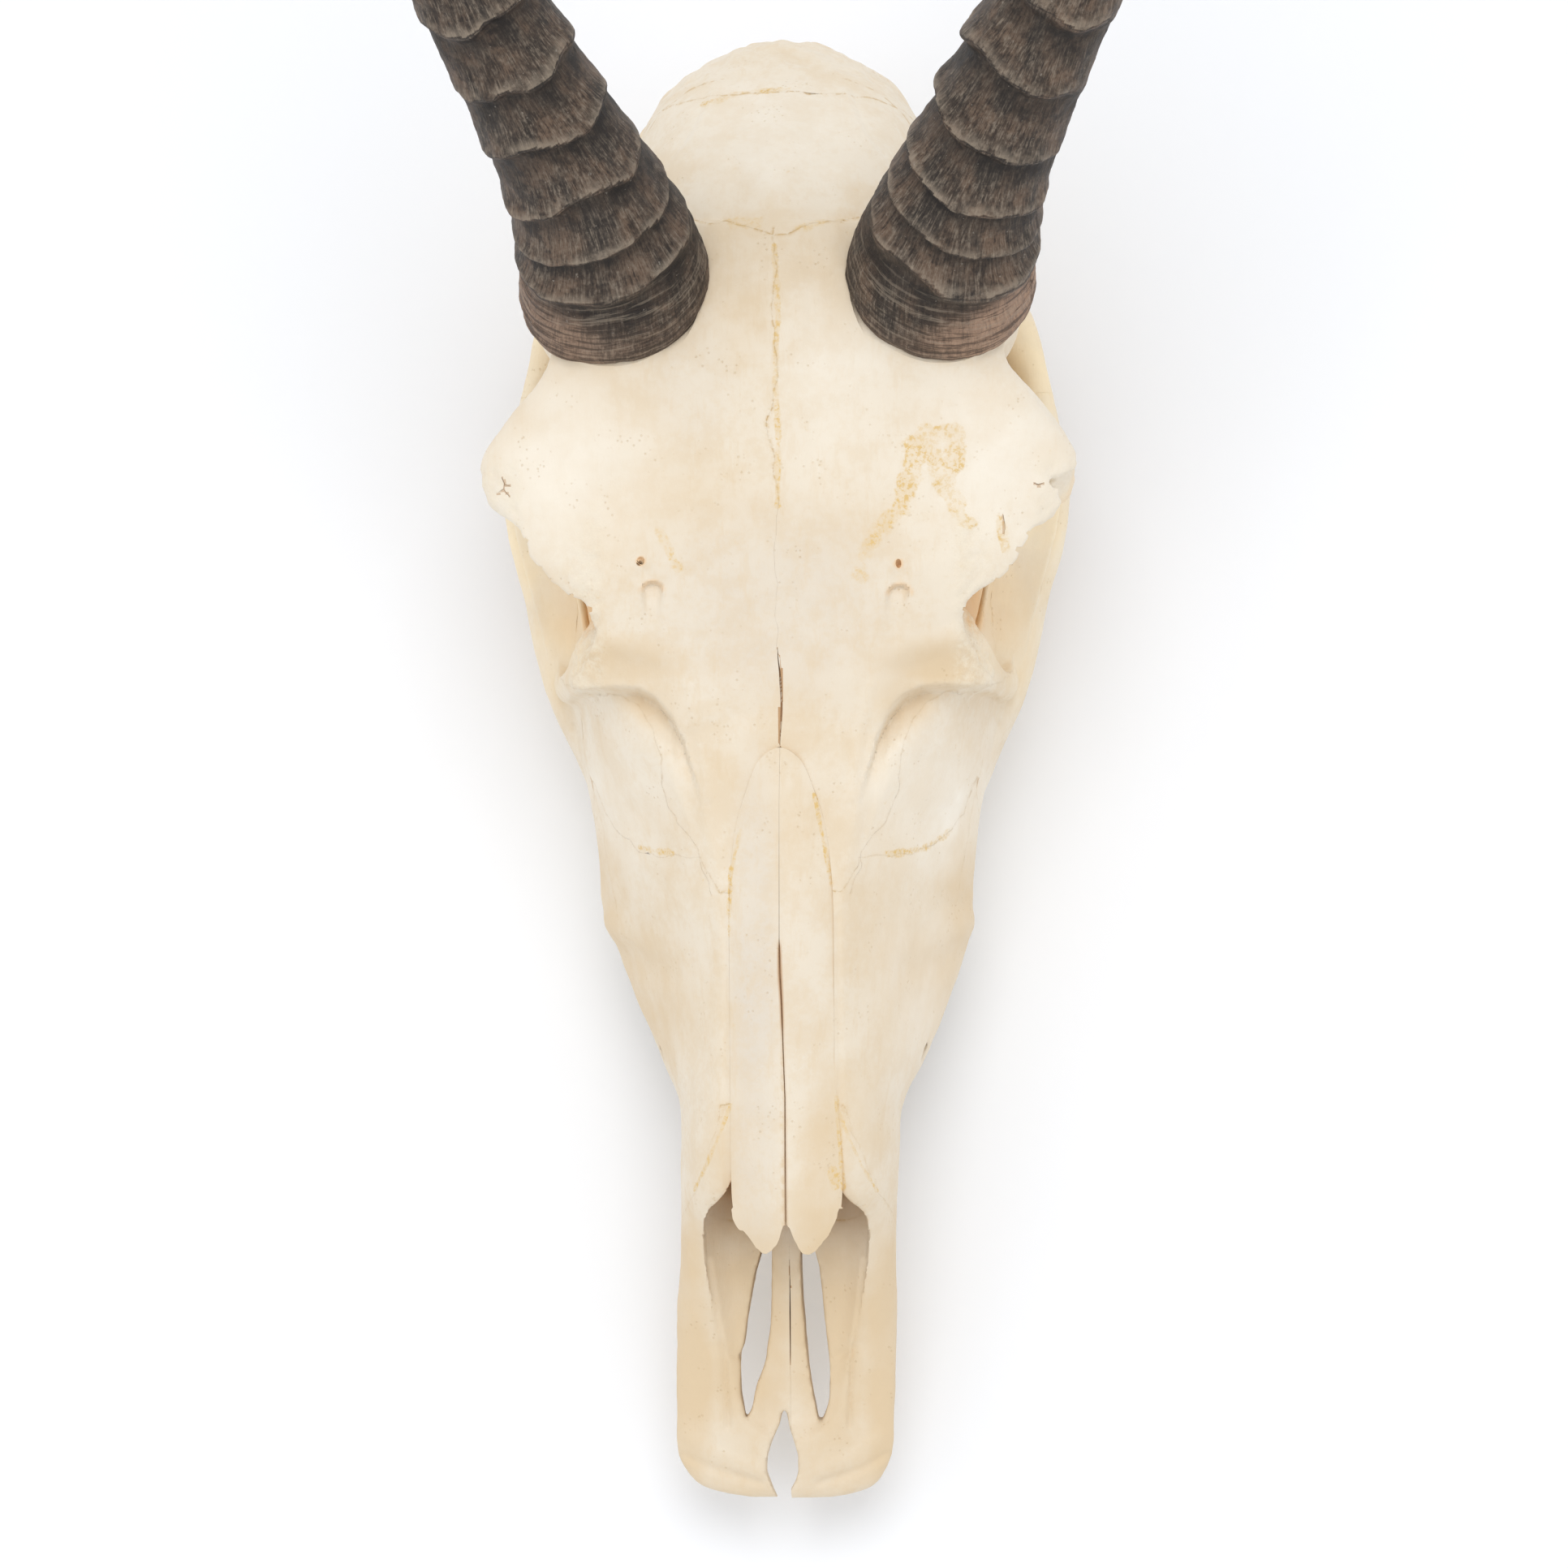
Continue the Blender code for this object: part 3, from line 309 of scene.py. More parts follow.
# The floor of the eye socket, rising inwards from the cheek: y, outer x and z, inner x and z, sag.
EYE_FLOOR = (
    (168, 49.5, -50, 39, -20, 0),
    (176, 51.5, -50, 38.5, -17, 0.5),
    (182, 53, -49, 38, -20, 2.5),
    (190, 55, -49.5, 38, -25, 3.5),
    (197, 57, -50, 40, -29, 3.5),
    (204, 58.8, -50, 44, -32, 3),
    (211, 60.4, -49, 49, -33, 2.5),
    (217, 61.2, -46, 53.5, -30, 1.5),
    (222, 61.4, -42, 56, -27, 0.5),
)
EYE_FLOOR_THICK = 3.0
# Low ribs on that floor, as rods.
EYE_RIBS = (
    ((45.2, 199, -31, 0.9, 1.2), (43.9, 192.5, -27, 0.9, 1.4), (42, 183, -23, 0.8, 1)),
    ((48.4, 201, -35.5, 0.8, 1), (46.4, 193, -33.5, 0.9, 1.2), (45, 184, -32, 0.8, 0.8)),
)
# The front rim of the socket, from the antorbital point down to the cheek.
EYE_FRONT = (
    (37, 178.4, -8, 4.4, 4),
    (42, 177.6, -13, 3, 3.8),
    (44.8, 177, -21, 2.6, 3.8),
    (46.8, 176.6, -32, 2.8, 4.2),
    (48.4, 176.4, -44, 3.4, 4.6),
)
PAROCCIPITAL = (
    (27, 296, -64, 7, 9),
    (27.5, 290, -78, 5, 8),
    (26.5, 282, -95, 3.6, 6),
    (25, 275.5, -109, 2.8, 4.4),
    (24.6, 274.2, -112.8, 2.4, 3.6),
)
PTERYGOID = (
    (15, 184, -78, 2.6, 9),
    (13, 198, -80, 1.9, 10),
    (12, 212, -81, 1.7, 10),
    (12, 226, -79, 1.8, 8),
    (12, 240, -76, 2.6, 6),
)
CRANIAL_BASE = (
    (0, 214, -72, 10, 8),
    (0, 240, -80, 10.5, 7),
    (0, 270, -87, 12, 6),
    (0, 296, -91, 13, 6),
)
NUCHAL_CREST = (
    (30, 297, -68, 2.6, 3.4),
    (24, 308, -61, 2.4, 3),
    (12, 314.6, -56, 2.2, 3),
    (0, 316.4, -55, 2.2, 3),
)
BULLA = ((19, 254, -91), (8, 12, 10))
CONDYLE = ((12.5, 303, -90), (7.5, 10, 10.5))
MAGNUM = ((0, 312, -84), (9, 16, 9))
CHOANA = ((0, 206, -76), (9.5, 24, 10))
# Small openings for vessels and nerves, as rods: on both sides, then on one side only.
FORAMINA = (
    ((30, 92, -37, 1.6, 2.2), (26, 99, -38, 1.6, 2.4), (20, 106, -39, 1.4, 2)),
    ((16, 300, -96, 1.6, 1.6), (11, 296, -88, 1.6, 1.6)),
    ((9, 226, -88, 1.5, 2), (15, 224, -72, 1.5, 2)),
    ((33, 263, -74, 2.4, 2.4), (24, 262, -72, 2.2, 2.2)),
)
BROW_HOLES = (
    ((-29.2, 202.9, 6, 0.8, 0.9), (-29.7, 202.2, 3.4, 0.8, 0.9), (-30.5, 201.4, 2.3, 0.5, 0.6)),
    ((25.8, 201.8, 6, 0.6, 0.9), (26, 201.2, 3.4, 0.6, 0.9), (26.3, 200.6, 2, 0.4, 0.5)),
)
# The niches beneath those openings: top of the round arch, half-width, foot of the slope, depth.
NICHES = (
    ((-27.2, 197.9), 2.5, (-27.5, 186), 2.5),
    ((26.2, 196.9), 2.7, (24.3, 187), 2.4),
)
# Fine cracks in the edge over the eyes: line on the plan and level of the bottom.
CRACKS = (
    (((-60, 220.8), (-59.4, 219.4), (-59.6, 218.2), (-58.2, 216.4)), -2.7),
    (((-59.4, 219.2), (-58, 218.8)), -2.5),
    (((-59.6, 218.3), (-60.8, 217.6)), -3.4),
    (((57.4, 218.6), (56.2, 218.2), (55.2, 218.6)), -1.3),
    (((48.6, 211.6), (49, 209), (48.7, 207.2)), 0.3),
)
CRACK_WIDTH = 0.24
# Small bites out of the edge over each eye: from, to, spacing and radius.
BITES = (191.7, 209, 3.1, 0.8)

# Upper cheek teeth, front to back: length along the row, width and number of lobes.
TEETH = ((8.5, 8.5, 1), (10.5, 10.5, 1), (11, 12.5, 1), (15, 14, 2), (18, 14.5, 2), (19.5, 13.5, 2))
ROW_START = (25.5, 99, -60)
ROW_END = (29, 184, -86)
ROW_BOW = 2.6
CROWN = 12.0
TOOTH_ROOT = 7.0
TOOTH_VOXEL = 0.36
LOBE_OVERLAP = 1.08
# A tooth from its root to the pit in its worn face: depth, size, and how much slimmer it is across.
TOOTH_ROWS = (
    (-TOOTH_ROOT, 0.84, 0), (-2, 0.9, 0), (0, 0.93, 0), (2, 0.99, 0),
    (CROWN * 0.55, 1.02, 0), (CROWN - 1.2, 1, 0), (CROWN - 0.2, 0.95, 0), (CROWN, 0.9, 0),
    (CROWN - 0.1, 0.84, 0), (CROWN - 0.8, 0.76, 0), (CROWN - 0.9, 0.66, 0.15),
    (CROWN - 0.15, 0.58, 0.3), (CROWN - 0.2, 0.5, 0.35), (CROWN - 1.6, 0.36, 0.4), (CROWN - 2.2, 0.12, 0.4),
)

# The horns, each as seen: where its axis starts, its rise over the face and outward turn along it.
HORN_LENGTH = 385.0
HORN_BASE = {"left": (35.4, 262, 6), "right": (34.6, 262, 6)}
HORN_RISE = ((0, 47), (40, 43), (80, 36), (120, 27), (190, 13), (300, 5), (385, 20))
HORN_TURN = {
    "left": (
        (0, 9), (20, 23), (42, 29), (70, 27), (100, 26), (140, 24), (200, 16), (260, 7), (320, -3),
        (385, -12),
    ),
    "right": (
        (0, 6), (20, 21), (42, 30), (70, 28), (100, 25), (140, 23), (200, 16), (260, 7), (320, -3),
        (385, -12),
    ),
}
HORN_BEND_LENGTH = 25
HORN_RADIUS = (
    (0, 19), (2, 20.2), (5, 20.3), (12, 19.1), (23, 16.9), (40, 14.4), (70, 12.6), (110, 12),
    (170, 10.4), (240, 8.2), (310, 5.4), (370, 2.6), (385, 1.6),
)
HORN_BASE_LEAN = 0.12
HORN_BASE_TILT = math.radians(76)
HORN_BASE_DROP = 3.6
HORN_BASE_BLEND = 34.0
# How far each base's outer front corner juts out, as a share of its radius.
HORN_CORNER = {"left": 0.03, "right": 0.14}
# Rings along each horn: the step to each of the lowest ones, then the even spacing of the rest.
RING_STEPS = {
    "left": (20, 7.4, 8.6, 15.4, 16.8, 18.4, 17.5),
    "right": (17.2, 8.4, 12, 15.4, 15.7, 16.3, 15.6),
}
RING_COUNT = 19
RING_INNER = {"left": 0.62, "right": 0.42}
RING_SPACING = 16.6
HORN_RUDDY = {"left": 1, "right": 0.6}
# A ring's height from its crest to the next ring's: a long slope, then that ring's round lip.
RING_SHAPE = (
    (0, 1), (0.045, 0.97), (0.1, 0.86), (0.2, 0.64), (0.34, 0.42), (0.5, 0.25), (0.62, 0.11),
    (0.7, 0.03), (0.77, 0), (0.83, 0.12), (0.89, 0.42), (0.94, 0.76), (0.97, 0.93), (1, 1),
)
# The core of bone under each horn and the seat cut for its sheath: height above its base, radius.
PEDICLE = ((-16, 20), (-4, 18), (1, 17))
HORN_SEAT = ((-0.3, 19.6), (30, 19.6))
# Where the tip's rounding starts along the horn, and over which length it closes.
HORN_TIP = 381
HORN_TIP_ROUND = 4.2

# Sutures as lines on the side view (y, z) or on the plan (x, y).
INTERFRONTAL = (
    (0.4, -20), (0.2, 14), (0.4, 30), (0.5, 58), (0.6, 86), (0.3, 96), (0, 107),
    (-0.3, 113), (-0.4, 120), (-0.2, 150), (0.1, 163), (0.3, 166), (0.5, 171), (0.2, 177.7),
    (-0.3, 184), (-0.4, 205.7), (-0.2, 211), (0, 216), (-0.5, 219.7), (-1, 225), (-2, 228.4),
    (-2.3, 232), (-0.7, 235.4), (-0.2, 240.6), (-0.3, 247.6), (-0.8, 256.4), (-0.2, 263.4), (-0.5, 274.4),
)
PREMAXILLA_SUTURE = (
    (88, 6), (84.5, -2.4), (78, -3.6), (70.5, -7), (65, -12.2), (61.5, -20), (57, -32),
    (52, -56),
)
LACRIMAL_FRONT = (
    (-1, 130.5), (13, 130.5), (15, 133.5), (17, 138), (22.8, 138.4), (27, 138.4), (31.1, 139.6),
    (35, 142.4), (39.4, 147), (42.6, 155), (60, 172),
)
LACRIMAL_BACK = (
    (14.8, 130), (16.4, 134.3), (17.7, 139.6), (19.9, 142.6), (23, 145.6), (25.6, 154), (26, 160),
    (28, 166), (31, 171.2), (36, 173.6), (43, 173.8), (48, 176), (58, 186),
)
CHEEK_SUTURE = (
    (155, -38), (139, -52), (147, -66), (180, -73), (188, -80), (190, -104),
)
CORONAL = (
    (0, 272), (5.9, 274.2), (10.6, 275.6), (14.5, 275.4), (19, 276.8), (25, 280.5), (40, 284.5),
    (62, 286),
)
LAMBDOID = ((309.4, 10), (307, -30), (302.7, -42), (286, -68), (268.5, -86), (268.5, -130))
EYE_LEVEL = -40.0
CHEEK_WALL = 31.0
THROAT = 192.0
MIDLINE_END = 273.1
ARCH_JOINT = 241.0
TEMPORAL_FRONT = 246.0
TEMPORAL_INNER = 13.5
WANDER_SETTLE = 12
# How far the stain reaches to either side of a suture.
SEAM_REACH = 1.3

# Ridges and grooves drawn on the plan: line, half-width, height (below zero it cuts in), sides.
BOTH = (1, -1)
STROKES = (
    (((14.5, 306.5), (15.2, 303.7), (17, 298.4), (20, 293), (24, 288)), 1.8, 0.5, BOTH),
    (((24, 181.6), (31, 182.8), (38.8, 186)), 3.4, 0.35, BOTH),
    (((15.6, 151), (16.4, 158), (17.6, 166), (19.6, 175)), 1.8, 0.35, BOTH),
    (((40.5, 118.6), (36, 115.2), (31, 113.2), (27, 113)), 5, -0.6, BOTH),
    (((22.5, 5.4), (17.3, 2.6), (11.4, 0.6), (6.4, -0.8)), 1.6, -0.5, BOTH),
    (((21, 9.4), (16.4, 6), (11, 3.6), (6.8, 2.2)), 2.6, 0.4, BOTH),
    (((17, 30), (18.6, 44), (19.4, 58)), 3, -0.35, BOTH),
    (((13.4, 12), (14, 26), (15.2, 35), (16.2, 42), (16.9, 49)), 1, -0.6, BOTH),
    (((12.4, 66), (12.4, 90), (12.2, 125)), 1, -0.25, BOTH),
    (((0, 216), (0, 235), (0, 262)), 9, 0.35, (1,)),
    (((0, 278), (0, 296)), 7, 0.3, (1,)),
)
# The small step inside the nose on either side, and the levels that it fades out at.
NOSE_STEP = ((15.4, 30.6), (13.1, 28.7), (11.3, 27.8))
NOSE_STEP_LEVELS = ((-46, -43), (-30, -34))
# Random unevenness: height, size of the lumps and seed. All over, on broken edges and at the nape.
UNEVEN = ((0.25, 13, 1), (0.13, 5, 2), (0.055, 1.9, 3))
UNEVEN_BREAK = ((0.35, 2.2, 7), (0.2, 1.2, 8))
UNEVEN_NAPE = ((0.5, 3.4, 4),)
UNEVEN_NASAL = ((0.10, 7, 11), (0.03, 1.8, 12))
UNEVEN_TOOTH = ((0.07, 1.3, 15), (0.12, 4, 16))
# Soft hollows and swellings on the plan: centre, the two radii, height, share of the rim that slopes.
DENTS = (
    ((-27.4, 187), (3.4, 8), -0.5, 1, (1,)),
    ((-28.8, 199.6), (3, 3.4), -0.7, 1, (1,)),
    ((25, 188.4), (3.6, 6), -0.5, 1, (1,)),
    ((26.2, 198.8), (2.8, 3.4), -0.6, 1, (1,)),
    ((40.4, 121.4), (8, 7), 1.5, 1, BOTH),
    ((30, 103), (9, 13), -0.8, 1, BOTH),
    ((24, 126), (9, 12), 0.5, 1, BOTH),
    ((33, 152), (9, 9), 0.6, 1, BOTH),
    ((26, 228), (20, 16), 0.7, 1, BOTH),
    ((0, 188), (16, 22), -0.8, 1, (1,)),
    ((17.6, 270), (6, 8), -0.8, 1, BOTH),
)
# The hollow in front of each eye: its upper edge on the plan, how far it runs down and how deep it is.
FOSSA_EDGE = (
    (16, 146), (18.4, 155), (21, 163.4), (23.4, 168.6), (26.8, 172.6), (30.6, 174.7), (36, 175),
    (42, 174.3), (46.6, 173.8), (49, 171),
)
FOSSA_RUN = 15.0
FOSSA_DEPTH = 6.2
# The shelf between that edge and the forehead slopes down towards the muzzle.
SHELF_BACK = 186.0
SHELF_DROP = 3.2
# The real skull isn't quite even: how far its flanks stand to the left along y.
DRIFT = ((-5, -0.9), (11, -1), (40, -0.3), (74, 0.7), (100, 1.5), (116, 0.8), (127, 0))

# Golden marks as lines on the plan, with their half-width and strength.
MARKS = (
    (((33, 228.8), (30, 226.5), (28.6, 219.5), (26.8, 213.9)), 3.8, 1),
    (((32, 229.4), (38.4, 229), (38, 223), (35.6, 218.3), (38.6, 213.9)), 3.8, 1),
    (((29, 226), (33.4, 224), (36, 220)), 3.8, 0.9),
    (((26.8, 213.9), (21.4, 208.8), (18.8, 204.4), (17.6, 199)), 3.6, 0.7),
    (((40, 210.4), (41.4, 209.6)), 2.6, 0.9),
    (((47.6, 211), (49, 204.6)), 1.9, 0.9),
    (((-25.6, 208.4), (-24, 205.2), (-21.8, 200.6)), 2, 0.8),
    (((10.8, 70), (11.2, 66.6)), 1.8, 0.9),
    (((11.6, 86), (12.4, 76), (13, 66)), 0.9, 1),
    (((11.4, 84.6), (14, 77.8), (17, 71), (20.2, 65.2)), 0.7, 1),
    (((-11.2, 84.6), (-14, 77.4), (-17, 70.8), (-19.8, 65.4)), 0.7, 1),
    (((7.4, 151.8), (9.2, 142), (11, 132)), 0.8, 1),
    (((-8.6, 144), (-11, 134), (-11.3, 121)), 0.7, 0.9),
    (((-0.4, 270), (0.5, 256), (-0.3, 242), (0.3, 228), (0, 214)), 1.2, 0.85),
    (((-17, 303.6), (-9, 306.4), (2, 307.2)), 1.3, 0.7),
    (((-9.6, 275.4), (-4, 275.4)), 2.4, 0.9),
    (((5, 273.8), (10, 275.2)), 1.8, 0.7),
    (((-24, 139), (-31, 140)), 1.6, 0.7),
    (((23, 138.4), (31, 139.6), (36, 143)), 1.6, 0.75),
)
# Greyer, paler and yellower zones of the bone, drawn as those are; the yellow ones lie on both sides. The
# pale zones on the cheeks and on the flanks behind the eyes are also painted light that brightens those
# side-facing surfaces.
GREY_PLACES = (
    ((0, 192), (34, 24), 0.8),
    ((-5.5, 112), (7, 50), 1),
    ((-6, 74), (6, 24), 0.8),
    ((4, 108), (9, 30), 0.35),
    ((-18, 240), (10, 18), 0.35),
)
PALE_AND_LIT_PLACES = (
    ((46, 222), (26, 26), 1),
    ((-46, 222), (26, 26), 0.8),
    ((14, 238), (16, 26), 0.5),
    ((32, 150), (18, 20), 1),
    ((-34, 152), (14, 18), 0.55),
    ((30, 112), (12, 30), 0.5),
    ((0, 296), (30, 18), 0.7),
)
WARM_PLACES = (
    ((23, 26), (9, 40), 0.95),
    ((9, 34), (12, 36), 0.9),
    ((12, 2), (14, 9), 0.35),
    ((30, 112), (16, 22), 0.5),
    ((40, 128), (8, 26), 0.6),
    ((34, 180), (16, 7), 0.75),
    ((27, 172), (8, 8), 0.6),
    ((9, 70), (6, 26), 0.4),
    ((48, 184), (9, 16), 0.35),
    ((12, 262), (16, 18), 0.25),
)
# The golden flanks below the eyes and behind them, on both sides: golden bone, made bright as painted light
# on these side-facing, partly shaded flanks.
GOLD_AND_LIT_PLACES = (
    ((58, 214), (10, 28), 1),
    ((57, 252), (13, 22), 1),
    ((48, 194), (10, 18), 1),
    ((55, 182), (8, 16), 0.75),
)
PAIRED_BONES = {
    "premaxilla": (19, 20, -39),
    "maxilla": (22, 140, -62),
    "lacrimal": (30, 160, -22),
    "zygomatic": (52, 186, -58),
    "frontal": (30, 220, 0),
    "temporal": (26, 262, -60),
}
SINGLE_BONES = {
    "parietal": (0, 292, -26),
    "sphenoid": (0, 235, -60),
    "occipital": (0, 306, -55),
}

# The camera: pixels of the square picture for each millimetre at the forehead, and where the
# face frame's midline lies in it.
PICTURE = 1932.0
PIXELS_PER_MM = 5.7
MIDLINE_PIXEL = 958.0
MIDLINE_ROW = 500.0
MIDLINE_SLOPE = 0.0069
PICTURE_CENTRE_Y = 153.9
SENSOR = 36.0

# Colours that aren't settings: of the bone, the teeth, the horns and the floor.
CHALK = (0.84, 0.76, 0.61, 1)
BONE_INSIDE = (0.50, 0.30, 0.15, 1)
ENAMEL = (0.87, 0.82, 0.70, 1)
ENAMEL_YELLOW = (0.74, 0.64, 0.46, 1)
TOOTH_STAIN = (0.20, 0.12, 0.07, 1)
TOOTH_PIT = (0.10, 0.06, 0.035, 1)
HORN_STAIN = (0.026, 0.021, 0.018, 1)
HORN_DARKEST = (0.014, 0.011, 0.010, 1)
HORN_SHADE = (0.022, 0.018, 0.016, 1)
HORN_BAND = (0.04, 0.028, 0.022, 1)
HORN_SPECK = (0.36, 0.32, 0.27, 1)
SMUDGE = (0.88, 0.88, 0.88, 1)


# What the settings of one kind share.
COLOUR = {"size": 3, "min": 0, "max": 1, "subtype": "COLOR"}
LENGTH = {"subtype": "DISTANCE", "unit": "LENGTH"}


class BoneSettings(bpy.types.PropertyGroup):
    grain: bpy.props.FloatProperty(
        name="Grain", description="Edge of the small cubes that the bone is modelled in",
        default=0.56 * MM, min=0.4 * MM, max=2 * MM, **LENGTH,
    )
    suture_gap: bpy.props.FloatProperty(
        name="Suture gap", description="Width of the line between two bones",
        default=0.02 * MM, min=0.01 * MM, max=0.5 * MM, **LENGTH,
    )
    suture_wander: bpy.props.FloatProperty(
        name="Suture wander", description="How far a suture zigzags to either side",
        default=0.55 * MM, min=0.0, max=1.0 * MM, **LENGTH,
    )
    cream: bpy.props.FloatVectorProperty(
        name="Cream", description="Clean bone", default=(0.80, 0.71, 0.575), **COLOUR,
    )
    warm: bpy.props.FloatVectorProperty(
        name="Warm", description="Yellower bone", default=(0.72, 0.565, 0.37), **COLOUR,
    )
    cool: bpy.props.FloatVectorProperty(
        name="Cool", description="Greyer bone of the forehead", default=(0.715, 0.645, 0.55), **COLOUR,
    )
    # Whitest bone; on the cheeks and on the flanks behind the eyes it is also painted light.
    pale: bpy.props.FloatVectorProperty(
        name="Pale", description="Whitest bone", default=(0.91, 0.85, 0.745), **COLOUR,
    )
    # Tan of the bone inside the nose and the eye sockets, also laid on as painted shade deep in them, under
    # the nasal bones and along the niches over the eyes.
    hollow: bpy.props.FloatVectorProperty(
        name="Hollow", description="Tan bone inside the nose and the eye sockets", default=(0.80, 0.49, 0.22),
        **COLOUR,
    )
    # Golden bone below and behind the eyes, made bright as painted light on the shaded flanks.
    gold_and_painted_light: bpy.props.FloatVectorProperty(
        name="Gold", description="Golden bone below and behind the eyes", default=(0.95, 0.79, 0.53),
        **COLOUR,
    )
    stain: bpy.props.FloatVectorProperty(
        name="Stain", description="Golden marks", default=(0.72, 0.50, 0.20), **COLOUR,
    )
    seam: bpy.props.FloatVectorProperty(
        name="Seam", description="Stain along a suture", default=(0.62, 0.43, 0.20), **COLOUR,
    )


class HornSettings(bpy.types.PropertyGroup):
    ring_height: bpy.props.FloatProperty(
        name="Ring height", description="How far a ring stands out",
        default=3.5 * MM, min=0.0, max=5 * MM, **LENGTH,
    )
    fibre_depth: bpy.props.FloatProperty(
        name="Fibre depth", description="Depth of the fibres along the horn",
        default=0.1 * MM, min=0.0, max=1 * MM, **LENGTH,
    )
    rows: bpy.props.IntProperty(
        name="Rows", description="Rows of faces along the horn", default=780, min=100, max=900,
    )
    sides: bpy.props.IntProperty(
        name="Sides", description="Faces round the horn", default=118, min=24, max=160,
    )
    dark: bpy.props.FloatVectorProperty(
        name="Dark", description="Horn between its rings", default=(0.060, 0.048, 0.039), **COLOUR,
    )
    brown: bpy.props.FloatVectorProperty(
        name="Brown", description="Browner patches", default=(0.145, 0.096, 0.066), **COLOUR,
    )
    fibre: bpy.props.FloatVectorProperty(
        name="Fibre", description="Dry pale fibres", default=(0.275, 0.225, 0.175), **COLOUR,
    )
    # Worn edge of a ring, laid on the ring lips as a painted highlight.
    crest: bpy.props.FloatVectorProperty(
        name="Crest", description="Worn edge of a ring", default=(0.36, 0.295, 0.225), **COLOUR,
    )
    rim: bpy.props.FloatVectorProperty(
        name="Rim", description="Reddish horn at the base", default=(0.40, 0.26, 0.18), **COLOUR,
    )


class StudioSettings(bpy.types.PropertyGroup):
    distance: bpy.props.FloatProperty(
        name="Distance", description="Camera's distance from the forehead",
        default=1.6, min=0.5, max=5, **LENGTH,
    )
    yaw: bpy.props.FloatProperty(
        name="Yaw", description="Camera's turn towards the animal's left", default=math.radians(1.7),
        subtype="ANGLE",
    )
    roll: bpy.props.FloatProperty(
        name="Roll", description="Turn of the picture", default=math.radians(0.395), subtype="ANGLE",
    )
    key: bpy.props.FloatProperty(
        name="Key light", description="Power of the large soft light", default=9.5, unit="POWER",
    )
    fill: bpy.props.FloatProperty(
        name="Fill", description="Strength of the light from all round", default=0.885,
    )
    floor: bpy.props.FloatVectorProperty(
        name="Floor", description="Colour of the floor", default=(0.94, 0.962, 1.0), **COLOUR,
    )


def smooth_rows(rows, steps):
    """The rows with smooth in-between ones, by a Catmull-Rom curve through each column."""
    rows = np.array(rows, float)
    ends = np.vstack([2 * rows[0] - rows[1], rows, 2 * rows[-1] - rows[-2]])
    result = []
    for before, start, end, after in zip(ends, ends[1:], ends[2:], ends[3:]):
        for t in np.arange(steps) / steps:
            cubic = 3 * start - before - 3 * end + after
            square = 2 * before - 5 * start + 4 * end - after
            result.append(start + 0.5 * t * (end - before + t * (square + t * cubic)))
    result.append(rows[-1])
    return np.array(result)


def read_off(table, at):
    return np.interp(at, *zip(*table))


def soft_step(low, high, value):
    t = np.clip((value - low) / (high - low), 0.0, 1.0)
    return t * t * (3 - 2 * t)


def within(*spans):
    """The product of several soft steps, each given as low, high and value."""
    return math.prod(soft_step(*span) for span in spans)


def on_midline(middle, spots):
    """Points on the plan along smoothed rows of the midline suture, at these places in y."""
    return np.stack([np.interp(spots, middle[:, 1], middle[:, 0]), spots], axis=1)


def midline_at(y):
    """How far to the left the midline suture lies at y."""
    return read_off([(place, x) for x, place in INTERFRONTAL], y)


def lumps(points, size, seed):
    """Smooth random values from -1 to 1 at points in millimetres, with lumps of about this size."""
    spots = np.asarray(points, float) / size
    corner = np.floor(spots).astype(np.int64)
    part = spots - corner
    part = part * part * (3 - 2 * part)
    total = np.zeros(len(spots))
    for step in itertools.product((0, 1), repeat=spots.shape[1]):
        mixed = np.full(len(spots), seed * 9176263, np.int64)
        weight = np.ones(len(spots))
        for axis, prime in zip(range(spots.shape[1]), (73856093, 19349663, 83492791)):
            mixed ^= (corner[:, axis] + step[axis]) * prime
            weight *= part[:, axis] if step[axis] else 1 - part[:, axis]
        mixed = ((mixed ^ (mixed >> 13)) * 1274126177) & 0x7FFFFFFF
        total += weight * (((mixed ^ (mixed >> 16)) & 0xFFFF) / 32767.5 - 1)
    return total


def uneven(points, kinds):
    """Random unevenness of several kinds together: height, size of the lumps and seed of each."""
    return sum(height * lumps(points, size, seed) for height, size, seed in kinds)


def mesh_object(name, mesh, hidden=False):
    obj = bpy.data.objects.new(name, mesh)
    bpy.context.scene.collection.objects.link(obj)
    obj.hide_render = hidden
    return obj


def loft(name, rings):
    """A closed skin over rings of points in millimetres, each with the same number of points."""
    rings = np.array(rings, float)
    rows, count = rings.shape[:2]
    faces = []
    for row in range(rows - 1):
        for i in range(count):
            j = (i + 1) % count
            faces.append((row * count + i, row * count + j, (row + 1) * count + j, (row + 1) * count + i))
    faces.append(tuple(range(count)))
    faces.append(tuple(range((rows - 1) * count, rows * count)))
    mesh = bpy.data.meshes.new(name)
    mesh.from_pydata(rings.reshape(-1, 3) * MM, [], faces)
    bm = bmesh.new()
    bm.from_mesh(mesh)
    bmesh.ops.recalc_face_normals(bm, faces=bm.faces)
    bmesh.ops.triangulate(bm, faces=[f for f in bm.faces if len(f.verts) > 4])
    bm.to_mesh(mesh)
    bm.free()
    return mesh_object(name, mesh, hidden=True)


def mirrored_ring(y, half):
    """A closed section at y from the points (x, z) of its left half, top and bottom on the midline."""
    right = [(-x, y, z) for x, z in reversed(half[1:-1])]
    return [(x, y, z) for x, z in half] + right


